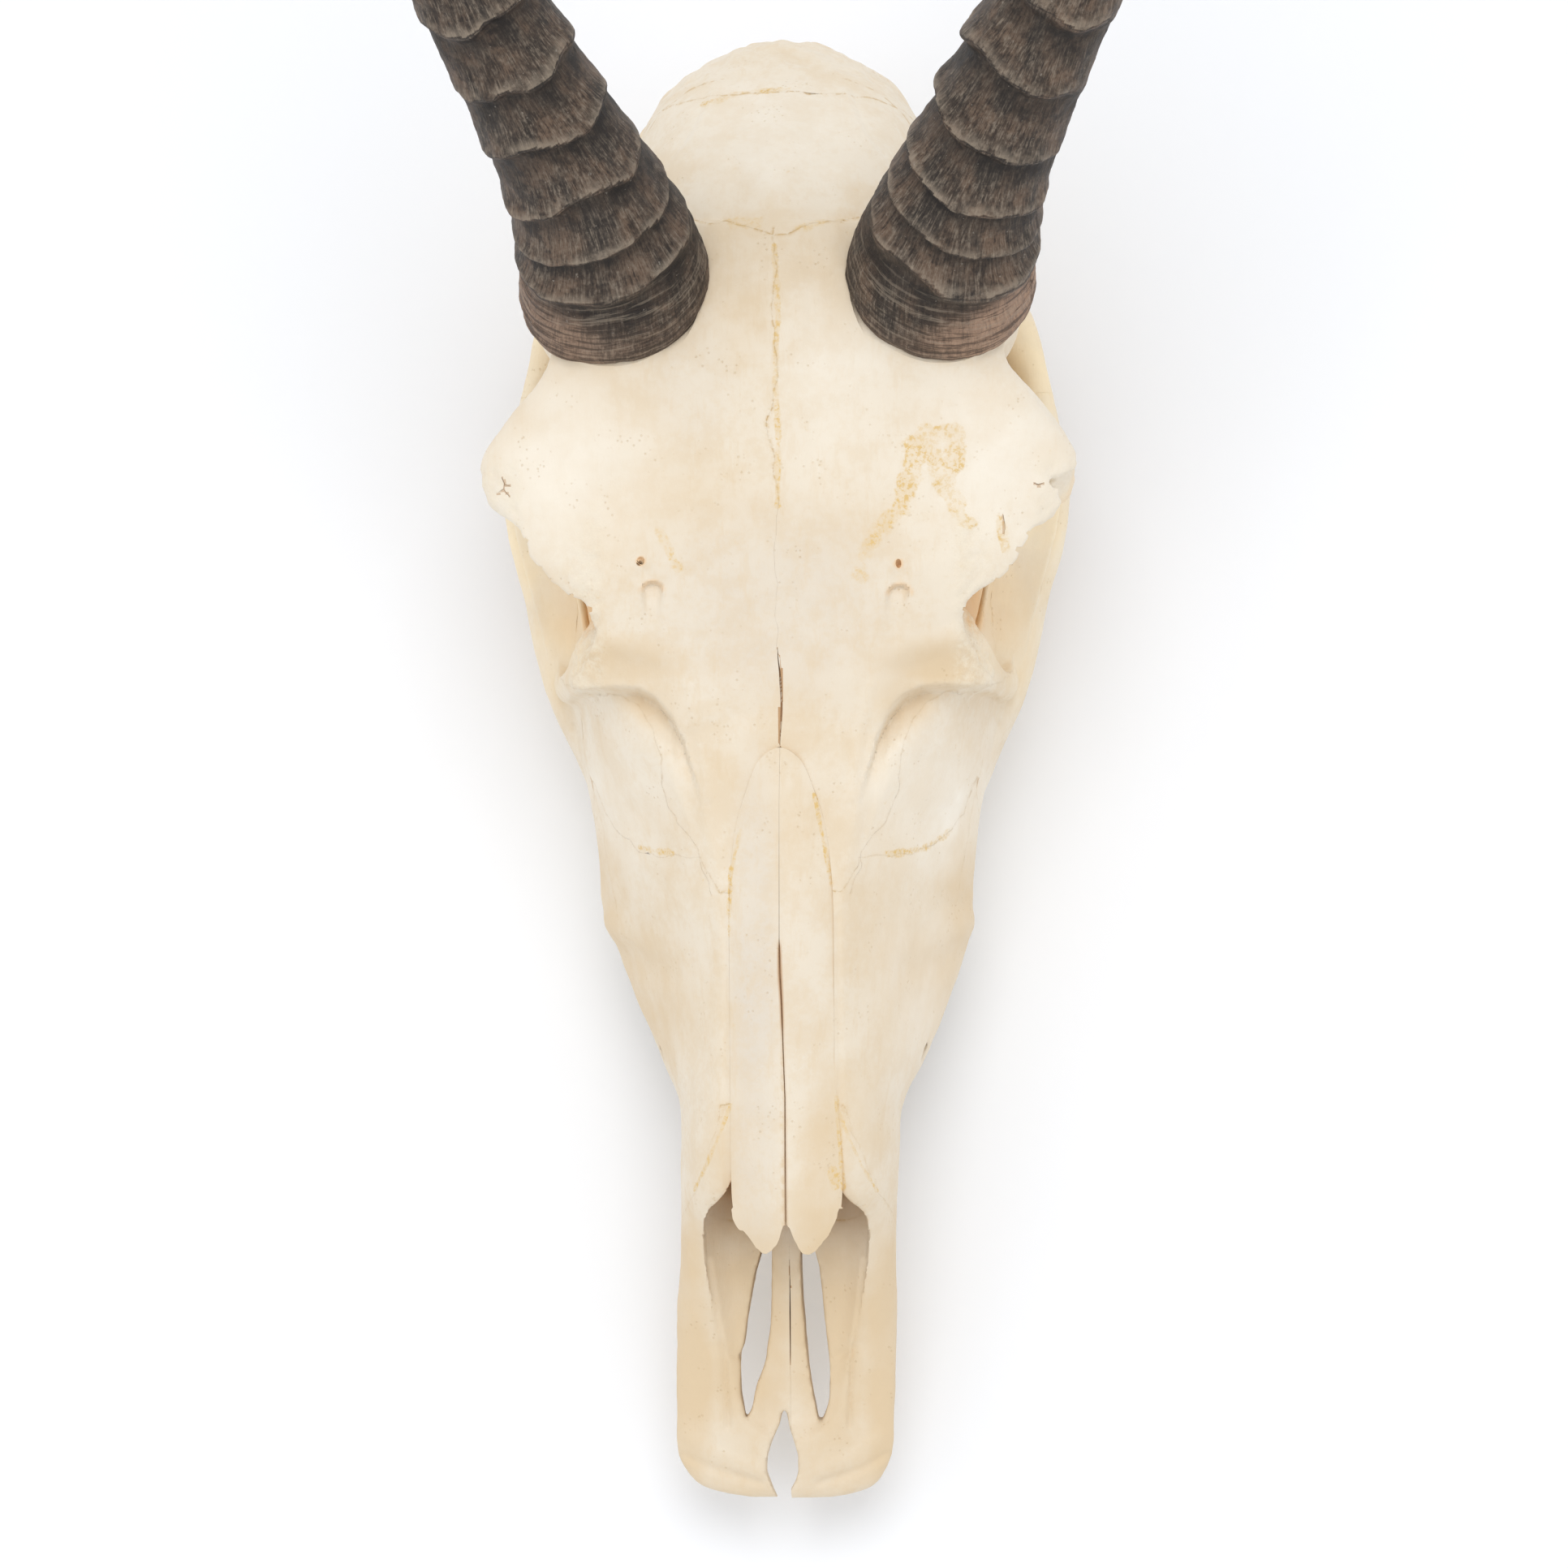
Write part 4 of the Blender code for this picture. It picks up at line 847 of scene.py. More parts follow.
def body_ring(row):
    """A section of the face or the braincase: a gently falling roof, round flanks and an arched underside."""
    y, top, roof, side, mid, foot, base, square = row
    fall = ROOF_FALL * roof
    half = [(0.0, top), (roof * 0.3, top - fall * 0.12), (roof * 0.6, top - fall * 0.4)]
    for angle in np.linspace(0, math.pi / 2, 19):
        out = math.sin(angle) ** (2 / square)
        up = math.cos(angle) ** (2 / square)
        half.append((roof + (side - roof) * out, mid + (top - fall - mid) * up))
    for angle in np.linspace(math.pi / 16, math.pi / 2, 8):
        half.append((foot + (side - foot) * math.cos(angle), mid + (base - mid) * math.sin(angle)))
    half += [(foot * share, base + rise) for share, rise in PALATE_ARCH]
    return mirrored_ring(y, half)


def forehead_ring(row):
    """The plate's section at y, trimmed on either side where the edge over the eye is chipped."""
    y, top, width, drop, thickness = row
    ring = {}
    for word, side in SIDES.items():
        rows = BROW[word]
        wide = width
        if rows[0][0] <= y <= rows[-1][0]:
            wide = read_off(rows, y) + chip(y, side)
        half = []
        for x in wide * np.sin(np.linspace(0, math.pi / 2, 30)):
            share = min(x / (width + 1.0), 1.0)
            half.append((x, top - drop * (1 - (1 - share ** BROW_SQUARE) ** (1 / BROW_SQUARE))))
        height = half[-1][1]
        edge = min(BROW_EDGE, thickness * 0.5)
        half += [(wide - inset, height - edge * share) for inset, share in BROW_LIP]
        half += [(wide * 0.55, min(top - thickness, height - edge)), (0.0, top - thickness - drop * 0.3)]
        ring[word] = half
    right = [(-x, y, z) for x, z in reversed(ring["right"][1:-1])]
    return [(x, y, z) for x, z in ring["left"]] + right


def edge_lump(y, side, size, seed):
    """A smooth random value from -1 to 1 along the edge over one eye."""
    return float(lumps([[y, side * 40.0]], size, seed)[0])


def chip(y, side):
    """How far the broken edge over the eye strays at y."""
    rough = soft_step(*CHIPPED[0], y) * (1 - soft_step(*CHIPPED[1], y))
    return float(rough * sum(depth * edge_lump(y, side, size, seed) for depth, size, seed in CHIPS))


def nose_ring(row):
    """A section of the hollow of the nose, with sides that curve in to its floor."""
    y, top, top_width, mid, mid_width, floor, floor_width = row
    half = [(0.0, top), (top_width * 0.5, top), (top_width, top)]
    half += [(top_width + 0.4 * (mid_width - top_width), 0.45 * top + 0.55 * mid), (mid_width, mid)]
    for t in np.linspace(0.2, 1.0, 5):
        half.append((mid_width + (floor_width - mid_width) * t ** 1.6, mid + (floor + 0.8 - mid) * t ** 0.8))
    half += [(floor_width * 0.6, floor), (0.0, floor)]
    return mirrored_ring(y, half)


def eye_floor(side):
    """The sheet of bone below the eye, sagging between the cheek and the inner wall."""
    rings = []
    for y, out_x, out_z, in_x, in_z, sag in smooth_rows(EYE_FLOOR, 5):
        top = []
        for t in np.linspace(0, 1, 14):
            height = in_z + (out_z - in_z) * t - sag * math.sin(math.pi * t)
            top.append((side * (in_x + (out_x - in_x) * t), y, height))
        rings.append(top + [(x, y, z - EYE_FLOOR_THICK) for x, y, z in reversed(top)])
    return loft("eye_floor", rings)


def ellipsoid(name, centre, radii, side=1):
    """A closed ellipsoid, given in millimetres."""
    bm = bmesh.new()
    bmesh.ops.create_uvsphere(bm, u_segments=64, v_segments=40, radius=1.0)
    place = Matrix.Translation(Vector((centre[0] * side, *centre[1:])) * MM)
    bmesh.ops.transform(bm, matrix=place @ Matrix.Diagonal((*[r * MM for r in radii], 1.0)), verts=bm.verts)
    mesh = bpy.data.meshes.new(name)
    bm.to_mesh(mesh)
    bm.free()
    return mesh_object(name, mesh, hidden=True)


def disc(centre, across, up, side, count=ROUND, reach=1.0):
    """Points round a centre in the plane of two directions."""
    ring = []
    for angle in np.arange(count) * 2 * math.pi / count:
        point = centre + (across * math.cos(angle) + up * math.sin(angle)) * reach
        ring.append((side * point.x, point.y, point.z))
    return ring


def rod(name, rows, side=1, steps=6, sides=24):
    """A rod of changing oval section; rows hold x, y, z and the two half-thicknesses."""
    rows = smooth_rows(rows, steps)
    rings = []
    for i, row in enumerate(rows):
        ahead = Vector(rows[min(i + 1, len(rows) - 1), :3] - rows[max(i - 1, 0), :3]).normalized()
        up = Vector((0, 0, 1)) if abs(ahead.z) < 0.8 else Vector((0, 1, 0))
        across = ahead.cross(up).normalized()
        up = across.cross(ahead)
        rings.append(disc(Vector(row[:3]), across * row[3], up * row[4], side, sides))
    return loft(name, rings)


def prism(name, outline, axis, reach):
    """An outline of points drawn out along an axis: along 'x' they are (y, z), along 'z' they are (x, y)."""
    if axis == "x":
        return loft(name, [[(depth, a, b) for a, b in outline] for depth in reach])
    return loft(name, [[(a, b, depth) for a, b in outline] for depth in reach])


def strip(rows, side=1):
    """The outline on the plan of rows that hold y and the places of two edges."""
    there = [(side * low, y) for y, low, _ in rows]
    return there + [(side * high, y) for y, _, high in reversed(rows)]


def horn_footing(name, side, rows):
    """A round shape under a horn's base, square to it; rows hold a height above the base and a radius."""
    centre, facing, across, front = horn_base("left")
    rings = [disc(centre + facing * height, across, front, side, reach=radius) for height, radius in rows]
    return loft(name, rings)


def baked(obj, name):
    """The object as its modifiers leave it, as a plain mesh in its own object."""
    graph = bpy.context.evaluated_depsgraph_get()
    mesh = bpy.data.meshes.new_from_object(obj.evaluated_get(graph))
    old = obj.data
    bpy.data.objects.remove(obj, do_unlink=True)
    if old.users == 0:
        bpy.data.meshes.remove(old)
    mesh.name = name
    return mesh_object(name, mesh, hidden=True)


def joined(objects, name):
    """One object of several objects' meshes, which are used up."""
    bm = bmesh.new()
    for obj in objects:
        bm.from_mesh(obj.data)
        bpy.data.objects.remove(obj, do_unlink=True)
    mesh = bpy.data.meshes.new(name)
    bm.to_mesh(mesh)
    bm.free()
    return mesh_object(name, mesh, hidden=True)


def remeshed(obj, voxel, soften):
    """One even skin round all of an object's shells, softened."""
    remesh = obj.modifiers.new("Remesh", "REMESH")
    remesh.mode = "VOXEL"
    remesh.voxel_size = voxel
    smooth = obj.modifiers.new("Smooth", "SMOOTH")
    smooth.factor = 0.5
    smooth.iterations = soften
    return baked(obj, obj.name)


def cut_away(obj, tools):
    """The object with every one of the closed tools cut out of it."""
    hold = bpy.data.collections.new("tools")
    bpy.context.scene.collection.children.link(hold)
    for tool in tools:
        hold.objects.link(tool)
    modifier = obj.modifiers.new("Cut", "BOOLEAN")
    modifier.operation = "DIFFERENCE"
    modifier.solver = "MANIFOLD"
    modifier.operand_type = "COLLECTION"
    modifier.collection = hold
    result = baked(obj, obj.name)
    for tool in tools:
        bpy.data.objects.remove(tool, do_unlink=True)
    bpy.data.collections.remove(hold)
    return result


def points_of(mesh):
    flat = np.empty(len(mesh.vertices) * 3, np.float32)
    mesh.vertices.foreach_get("co", flat)
    return flat.reshape(-1, 3).astype(float) / MM


def normals_of(mesh):
    flat = np.empty(len(mesh.vertices) * 3, np.float32)
    mesh.vertex_normals.foreach_get("vector", flat)
    return flat.reshape(-1, 3).astype(float)


def set_points(mesh, points):
    mesh.vertices.foreach_set("co", (points * MM).astype(np.float32).ravel())
    mesh.update()


def set_value(mesh, name, values, domain="POINT"):
    attribute = mesh.attributes.get(name) or mesh.attributes.new(name, "FLOAT", domain)
    attribute.data.foreach_set("value", np.asarray(values, np.float32))


def line_distance(spots, line):
    """The distance of each point from a line of straight stretches."""
    best = np.full(len(spots), 1e9)
    line = np.array(line, float)
    for start, end in zip(line, line[1:]):
        along = end - start
        t = np.clip((spots - start) @ along / (along @ along), 0, 1)
        best = np.minimum(best, np.linalg.norm(spots - start - t[:, None] * along, axis=1))
    return best


def line_reach(spots, line, width):
    """1 on the line and 0 at this distance from it, in a smooth fall."""
    line = np.array(line, float)
    near = np.all((spots > line.min(0) - width) & (spots < line.max(0) + width), axis=1)
    result = np.zeros(len(spots))
    t = np.clip(line_distance(spots[near], line) / width, 0, 1)
    result[near] = (1 - t * t) ** 2
    return result


def skull_shapes():
    """The closed shapes that together fill the skull without its horns and teeth."""
    plate = smooth_rows(FOREHEAD, 6)
    stops = np.arange(plate[0, 0], plate[-1, 0], 0.7)
    plate = np.stack([np.interp(stops, plate[:, 0], column) for column in plate.T], axis=1)
    shapes = [
        loft("face", [body_ring(row) for row in smooth_rows(FACE, 6)]),
        loft("braincase", [body_ring(row) for row in smooth_rows(BRAINCASE, 6)]),
        loft("forehead", [forehead_ring(row) for row in plate]),
        rod("cranial_base", CRANIAL_BASE),
    ]
    for side in SIDES.values():
        rods = (CHEEK, EYE_BAR, EYE_FRONT, PAROCCIPITAL, PTERYGOID, NUCHAL_CREST)
        shapes += [rod("rod", rows, side) for rows in rods]
        shapes += [ellipsoid("bulla", *BULLA, side), ellipsoid("condyle", *CONDYLE, side)]
        shapes.append(horn_footing("pedicle", side, PEDICLE))
    return shapes


def skull_openings():
    """What is cut out of the skull before its surface is carved."""
    tools = [
        loft("nose", [nose_ring(row) for row in smooth_rows(NOSE, 5)]),
        ellipsoid("magnum", *MAGNUM),
        ellipsoid("choana", *CHOANA),
        prism("front_notch", strip(FRONT_NOTCH), "z", (-60.0, 10.0)),
    ]
    for word, side in SIDES.items():
        tools.append(ellipsoid("orbit", ORBIT_CENTRE, ORBIT_RADII, side))
        slots = strip(smooth_rows(PALATE_SLOT[word], 4), side)
        tools.append(prism("palate_slot", slots, "z", (-60.0, -24.0)))
        tools += [rod("foramen", rows, side, sides=16) for rows in FORAMINA]
    return tools


def nasal_height(x, half, top):
    """The height of the nasal bones' arch at x, where they are this wide and high."""
    return top - NASAL_FALL * (x / half) ** 2.4 * (half / NASAL_WIDEST) ** 2


def seats(gap):
    """Beds of the nasal bones and the horns, slit, cracks and bites, which are cut before the sutures."""
    rows = [NASAL_BED_ENDS[0], *smooth_rows(NASAL, 4), NASAL_BED_ENDS[1]]
    rings = []
    for y, half, top, thick in rows:
        stops = np.linspace(0, half + gap, 14)
        low = [(x, nasal_height(min(x, half), half, top) - thick - gap) for x in reversed(stops)]
        rings.append(mirrored_ring(y, [(0.0, 30.0), (half + gap, 30.0)] + low))
    tools = [loft("nasal_seat", rings)]
    tools += [rod("opening", rows, sides=28) for rows in BROW_HOLES]
    middle = smooth_rows(INTERFRONTAL, 4)
    for widths, bottom in GROOVES:
        spots = np.arange(widths[0][0], widths[-1][0], 0.8)
        outline = thin_wall(on_midline(middle, spots), read_off(widths, spots))
        tools.append(prism("groove", outline, "z", (bottom, bottom + 12.0)))
    for line, bottom in CRACKS:
        width = CRACK_WIDTH * np.sin(np.linspace(0.5, math.pi - 0.15, len(line)))
        tools.append(prism("crack", thin_wall(line, width), "z", (bottom, 20.0)))
    start, end, step, radius = BITES
    for word, side in SIDES.items():
        for y in np.arange(start, end, step):
            size, shift, turn = (edge_lump(y, side, 1.3, seed) for seed in (14, 15, 16))
            reach = radius * (1 + 0.75 * size)
            x = side * (read_off(BROW[word], y) + chip(y, side) - 0.35 * reach)
            turns = 3 * turn + np.arange(5) * 2 * math.pi / 5
            outline = [(x + reach * math.cos(a), y + 0.9 * shift + 0.8 * reach * math.sin(a)) for a in turns]
            tools.append(prism("bite", outline, "z", (-12.0, 20.0)))
    tools += [horn_footing("horn_seat", side, HORN_SEAT) for side in SIDES.values()]
    return tools


def carve(points, normals):
    """The points moved along their normals into the ridges, hollows and breaks of the real surface."""
    x, y, z = points.T
    up = soft_step(0.05, 0.35, normals[:, 2]) * soft_step(-62, -50, z)
    plan = points[:, :2]
    lift = np.zeros(len(points))
    for line, width, height, sides in STROKES:
        for side in sides:
            drawn = [(side * a, b) for a, b in line]
            lift += height * line_reach(plan, drawn, width) * up
    for centre, radii, height, slope, sides in DENTS:
        for side in sides:
            spread = np.hypot((x - side * centre[0]) / radii[0], (y - centre[1]) / radii[1])
            lift += height * soft_step(1.0, 1.0 - slope, spread) * up
    lift += uneven(points, UNEVEN)
    lift += soft_step(300, 310, y) * soft_step(-20, -50, z) * uneven(points, UNEVEN_NAPE)
    lift += ragged(points) * uneven(points, UNEVEN_BREAK)
    step = sum(line_reach(plan, [(side * a, b) for a, b in NOSE_STEP], 1.6) for side in BOTH)
    lift -= 0.5 * step * soft_step(*NOSE_STEP_LEVELS[0], z) * soft_step(*NOSE_STEP_LEVELS[1], z)
    result = points + normals * lift[:, None]
    result[:, 2] -= sunk(points)
    result[:, 0] += read_off(DRIFT, y) * soft_step(12, 22, np.abs(x))
    return result


def sunk(points):
    """How far the top of the face sinks at each point: shelf and hollow before each eye, and the niches."""
    x, y, z = points.T
    out = np.abs(x)
    below = read_off(FOSSA_EDGE, out) - y
    fossa = soft_step(-0.5, 1.5, below) * (1 - np.clip(below / FOSSA_RUN, 0, 1)) ** 1.4
    fossa *= soft_step(16, 24, out) * soft_step(49, 45, out)
    shelf = soft_step(SHELF_BACK, SHELF_BACK - 10, y) * soft_step(160, 172, y) * soft_step(20, 31, out)
    depth = FOSSA_DEPTH * fossa + SHELF_DROP * shelf
    for (top_x, top_y), wide, (foot_x, foot_y), deep in NICHES:
        along = np.clip((top_y - y) / (top_y - foot_y), 0, 1)
        across = np.abs(x - top_x - (foot_x - top_x) * along) / wide
        inside = top_y - wide * (1 - np.sqrt(np.clip(1 - across ** 2, 0, 1))) - y
        flanks = soft_step(1.0, 0.7 - 0.6 * along, across)
        depth += deep * soft_step(0.0, 0.7, inside) * (1 - along) ** 2 * flanks
    return depth * soft_step(-58, -34, z)


def ragged(points):
    """How broken the bone is at each point: over the eyes, round the antorbital points and at the nape."""
    x, y, z = points.T
    out = np.abs(x)
    rim = within((36, 40, out), (170, 174, y), (218, 210, y), (-26, -14, z))
    brow = within((54, 57, out), (206, 210, y), (226, 222, y), (-30, -14, z))
    return np.maximum(rim * soft_step(60, 44, out + (y - 187) * 0.4), brow * 0.8)


def wandered(points, amount):
    """Where each point goes when space is shuffled a little, so that a straight cut zigzags."""
    calm = 1 - 0.75 * soft_step(120, 60, points[:, 1])
    moved = points.copy()
    for axis in range(3):
        shift = amount * lumps(points, 3.4, 20 + axis) + 0.3 * amount * lumps(points, 1.6, 30 + axis)
        moved[:, axis] += shift * calm
    return moved


def settled(points, amount):
    """The points whose wandered places these are."""
    guess = points.copy()
    for _ in range(WANDER_SETTLE):
        guess += points - wandered(guess, amount)
    return guess


def thin_wall(line, width):
    """The outline of a thin wall along a line, its width given for each point."""
    line = np.array(line, float)
    ahead = np.gradient(line, axis=0)
    ahead /= np.linalg.norm(ahead, axis=1)[:, None]
    away = np.stack([-ahead[:, 1], ahead[:, 0]], axis=1) * np.reshape(width, (-1, 1)) / 2
    return [*(line + away), *(line - away)[::-1]]


def sutures(gap):
    """The thin walls that part the bones, with the lines that they follow: axis, line, reach, wall."""
    low, high = -140.0, 60.0
    under = EYE_LEVEL + 0.1
    found = []

    def wall(line, axis, reach):
        found.append((axis, line, sorted(reach), prism("wall", thin_wall(line, gap), axis, reach)))

    middle = smooth_rows(INTERFRONTAL, 4)
    for start, end, base in ((-20.0, THROAT + 0.1, low), (THROAT - 8, MIDLINE_END + 1, EYE_LEVEL)):
        spots = np.unique(np.clip(middle[:, 1], start, end))
        wall(on_midline(middle, spots), "z", (base, high))
    wall(((124.0, EYE_LEVEL), (310.0, EYE_LEVEL)), "x", (-90.0, 90.0))
    wall(PREMAXILLA_SUTURE, "x", (-60.0, 60.0))
    wall(LAMBDOID, "x", (-60.0, 60.0))
    wall(((THROAT, under), (THROAT, low)), "x", (-CHEEK_WALL - 0.1, CHEEK_WALL + 0.1))
    for side in SIDES.values():
        for line in (LACRIMAL_FRONT, LACRIMAL_BACK, CORONAL):
            wall([(side * x, y) for x, y in line], "z", (EYE_LEVEL, high))
        wall(CHEEK_SUTURE, "x", (side * (CHEEK_WALL - 0.1), side * 80.0))
        wall(((ARCH_JOINT, -30.0), (ARCH_JOINT, -90.0)), "x", (side * 40.0, side * 80.0))
        reach = (side * (TEMPORAL_INNER - 0.1), side * 45.0)
        wall(((TEMPORAL_FRONT, under), (TEMPORAL_FRONT, low)), "x", reach)
        sheet = (*CHEEK_SUTURE, (214.0, -104.0), (214.0, under))
        start = TEMPORAL_FRONT - gap
        flank = ((start, under), (start, low), (271.0, low), (271.0, -86.0), (289.0, -68.0), (305.0, under))
        for outline, place in ((sheet, CHEEK_WALL), (flank, TEMPORAL_INNER)):
            reach = (side * (place - gap / 2), side * (place + gap / 2))
            found.append(("sheet", outline, reach, prism("wall", outline, "x", reach)))
    return found


def seam_distance(points, lines):
    """How far each point lies from the nearest suture; lines hold axis, line and reach."""
    nearest = np.full(len(points), 9.0)
    for axis, line, reach in lines:
        if axis == "sheet":
            continue
        flat, depth = (points[:, 1:], points[:, 0]) if axis == "x" else (points[:, :2], points[:, 2])
        line = np.array(line, float)
        inside = (depth > reach[0]) & (depth < reach[1])
        inside &= np.all((flat > line.min(0) - 2) & (flat < line.max(0) + 2), axis=1)
        nearest[inside] = np.minimum(nearest[inside], line_distance(flat[inside], line))
    return nearest


def seam_stain(points, lines):
    """How strongly each point is stained by a suture, fainter on the forehead and along the face."""
    out, y = np.abs(points[:, 0]), points[:, 1]
    seam = np.clip(1 - seam_distance(points, lines) / SEAM_REACH, 0, 1)
    bare = soft_step(216, 208, y) * soft_step(4, 2.5, out)
    faint = soft_step(190, 180, y) * soft_step(12, 15, out)
    return seam * (1 - 0.9 * bare) * (1 - 0.25 * faint)


def cut_open(middles, lines, gap):
    """How dark the bone is at each face: most in the midline slit, then in cracks and in sutures."""
    central = np.abs(middles[:, 0]) < 2
    widths = np.max([read_off(rows, middles[:, 1]) for rows, _ in GROOVES], axis=0)
    cut = seam_distance(middles, lines) < np.where(central, widths, gap) / 2 + 0.03
    cut = cut * np.where(central & (widths > gap + 0.05), 1.0, 0.18)
    for line, bottom in CRACKS:
        near = line_distance(middles[:, :2], line) < CRACK_WIDTH / 2 + 0.05
        cut = np.maximum(cut, 0.6 * (near & (middles[:, 2] > bottom - 1)))
    return cut


def middles_of(mesh):
    flat = np.empty(len(mesh.polygons) * 3, np.float32)
    mesh.polygons.foreach_get("center", flat)
    return flat.reshape(-1, 3).astype(float) / MM


def loose_pieces(obj):
    """The object split into its separate closed surfaces."""
    bpy.ops.object.select_all(action="DESELECT")
    obj.select_set(True)
    bpy.context.view_layer.objects.active = obj
    before = set(bpy.data.objects)
    bpy.ops.mesh.separate(type="LOOSE")
    return [obj, *(set(bpy.data.objects) - before)]


def holds(obj, spot):
    """Whether a point in millimetres lies inside a closed mesh."""
    graph = bpy.context.evaluated_depsgraph_get()
    tree = BVHTree.FromObject(obj, graph)
    origin, ray = Vector(spot) * MM, Vector((0.123, 0.211, 0.97)).normalized()
    crossings = 0
    while True:
        hit = tree.ray_cast(origin, ray)[0]
        if hit is None:
            return crossings % 2 == 1
        crossings += 1
        origin = hit + ray * 1e-6


def bone_seeds():
    seeds = dict(SINGLE_BONES)
    for name, spot in PAIRED_BONES.items():
        for word, side in SIDES.items():
            seeds[f"{name}_{word}"] = (side * spot[0], *spot[1:])
    return seeds


def tan_and_shade_amount(points, normals):
    """How much tan bone and painted shade each point gets, from 0 to 1: how far inside the nose, an eye
    socket or the throat it lies, and painted shade along the niches' arches and round the openings over the
    eyes.
    """
    x, y, z = points.T
    out = np.abs(x)
    wide = read_off([(row[0], row[4]) for row in NOSE], y)
    floor = read_off([(row[0], row[5]) for row in NOSE], y)
    inward = soft_step(-0.1, 0.3, -(normals[:, 0] * x + normals[:, 2] * (z + 18)) / (np.hypot(x, z + 18) + 1))
    nose = soft_step(wide + 1.0, wide - 0.6, out) * soft_step(floor - 1.6, floor - 0.4, z) * inward
    result = nose * within((50, 86, y), (130, 124, y))
    for (centre, radii), share in ((CHOANA, 0.7), (MAGNUM, 0.8)):
        parts = [(at - middle) / radius for at, middle, radius in zip((out, y, z), centre, radii)]
        spread = np.sqrt(sum(part ** 2 for part in parts))
        result = np.maximum(result, share * soft_step(1.12, 1.0, spread))
    socket = within((46, 42.5, out), (184, 190, y), (216, 206, y), (-9, -16, z))
    result = np.maximum(result, 0.95 * socket * soft_step(24, 30, out))
    band = within((57, 45, out), (180, 190, y), (216, 206, y))
    bar = within((53, 57, out), (206, 213, y), (-50, -40, z))
    result = np.maximum(result, 0.3 * np.maximum(band, bar) * soft_step(-11, -16, z))
    # Painted shade: tan laid along the top arch of each niche and round each opening over the eye.
    for (top_x, top_y), wide, _, _ in NICHES:
        turns = np.radians(np.arange(15, 170, 10))
        arch = np.stack([top_x + wide * np.cos(turns), top_y - wide + wide * np.sin(turns)], axis=1)
        result = np.maximum(result, 0.5 * line_reach(points[:, :2], arch, 0.75) * soft_step(-20, -10, z))
    for rows in BROW_HOLES:
        hole = np.hypot(x - rows[1][0], y - rows[1][1])
        result = np.maximum(result, 0.7 * soft_step(1.3, 0.8, hole) * soft_step(-10, -4, z))
    return result


def spread_over(points, places):
    """The strongest of several soft oval patches drawn on the plan, at each point."""
    result = np.zeros(len(points))
    for centre, radii, strength in places:
        reach = np.hypot((points[:, 0] - centre[0]) / radii[0], (points[:, 1] - centre[1]) / radii[1])
        result = np.maximum(result, strength * soft_step(1.25, 0.3, reach))
    return result


def paint(mesh):
    """Stores on the mesh, in the face frame, what its colours follow."""
    points = points_of(mesh)
    z = points[:, 2]
    top = soft_step(-22, -6, z)
    # Tan of the nose and sockets, laid darker deeper in as painted shade, with painted shade in the niches
    # and round the openings over the eyes.
    set_value(mesh, "hollow", tan_and_shade_amount(points, normals_of(mesh)))
    stain = [strength * line_reach(points[:, :2], line, width) for line, width, strength in MARKS]
    set_value(mesh, "stain", np.max(stain, axis=0) * soft_step(-52, -40, z))
    set_value(mesh, "cool", spread_over(points, GREY_PLACES) * top)
    # Pale: whiter bone, and on the cheeks and the flanks behind the eyes painted light.
    set_value(mesh, "pale", spread_over(points, PALE_AND_LIT_PLACES) * soft_step(-62, -54, z))
    warm = spread_over(np.abs(points), WARM_PLACES)
    set_value(mesh, "warm", np.maximum(warm, 0.5 * soft_step(-52, -74, z)))
    # Gold: golden bone, brightened as painted light on the shaded flanks below and behind the eyes.
    gold_and_painted_light = spread_over(np.abs(points), GOLD_AND_LIT_PLACES) * soft_step(-9, -15, z)
    set_value(mesh, "gold_and_painted_light", gold_and_painted_light * soft_step(-80, -66, z))
    set_value(mesh, "broken", ragged(points))


def placed(obj, name, material, node):
    """Moves a finished piece into the rest pose and lets it stand for its node."""
    obj.name = name
    obj.data.name = name
    obj.data.transform(REST)
    points = points_of(obj.data)
    points[:, 2] = np.maximum(points[:, 2], LOWEST)
    set_points(obj.data, points)
    obj.data.materials.clear()
    obj.data.materials.append(material)
    obj.hide_render = False
    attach(obj, "root")
    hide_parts(node)
    return obj


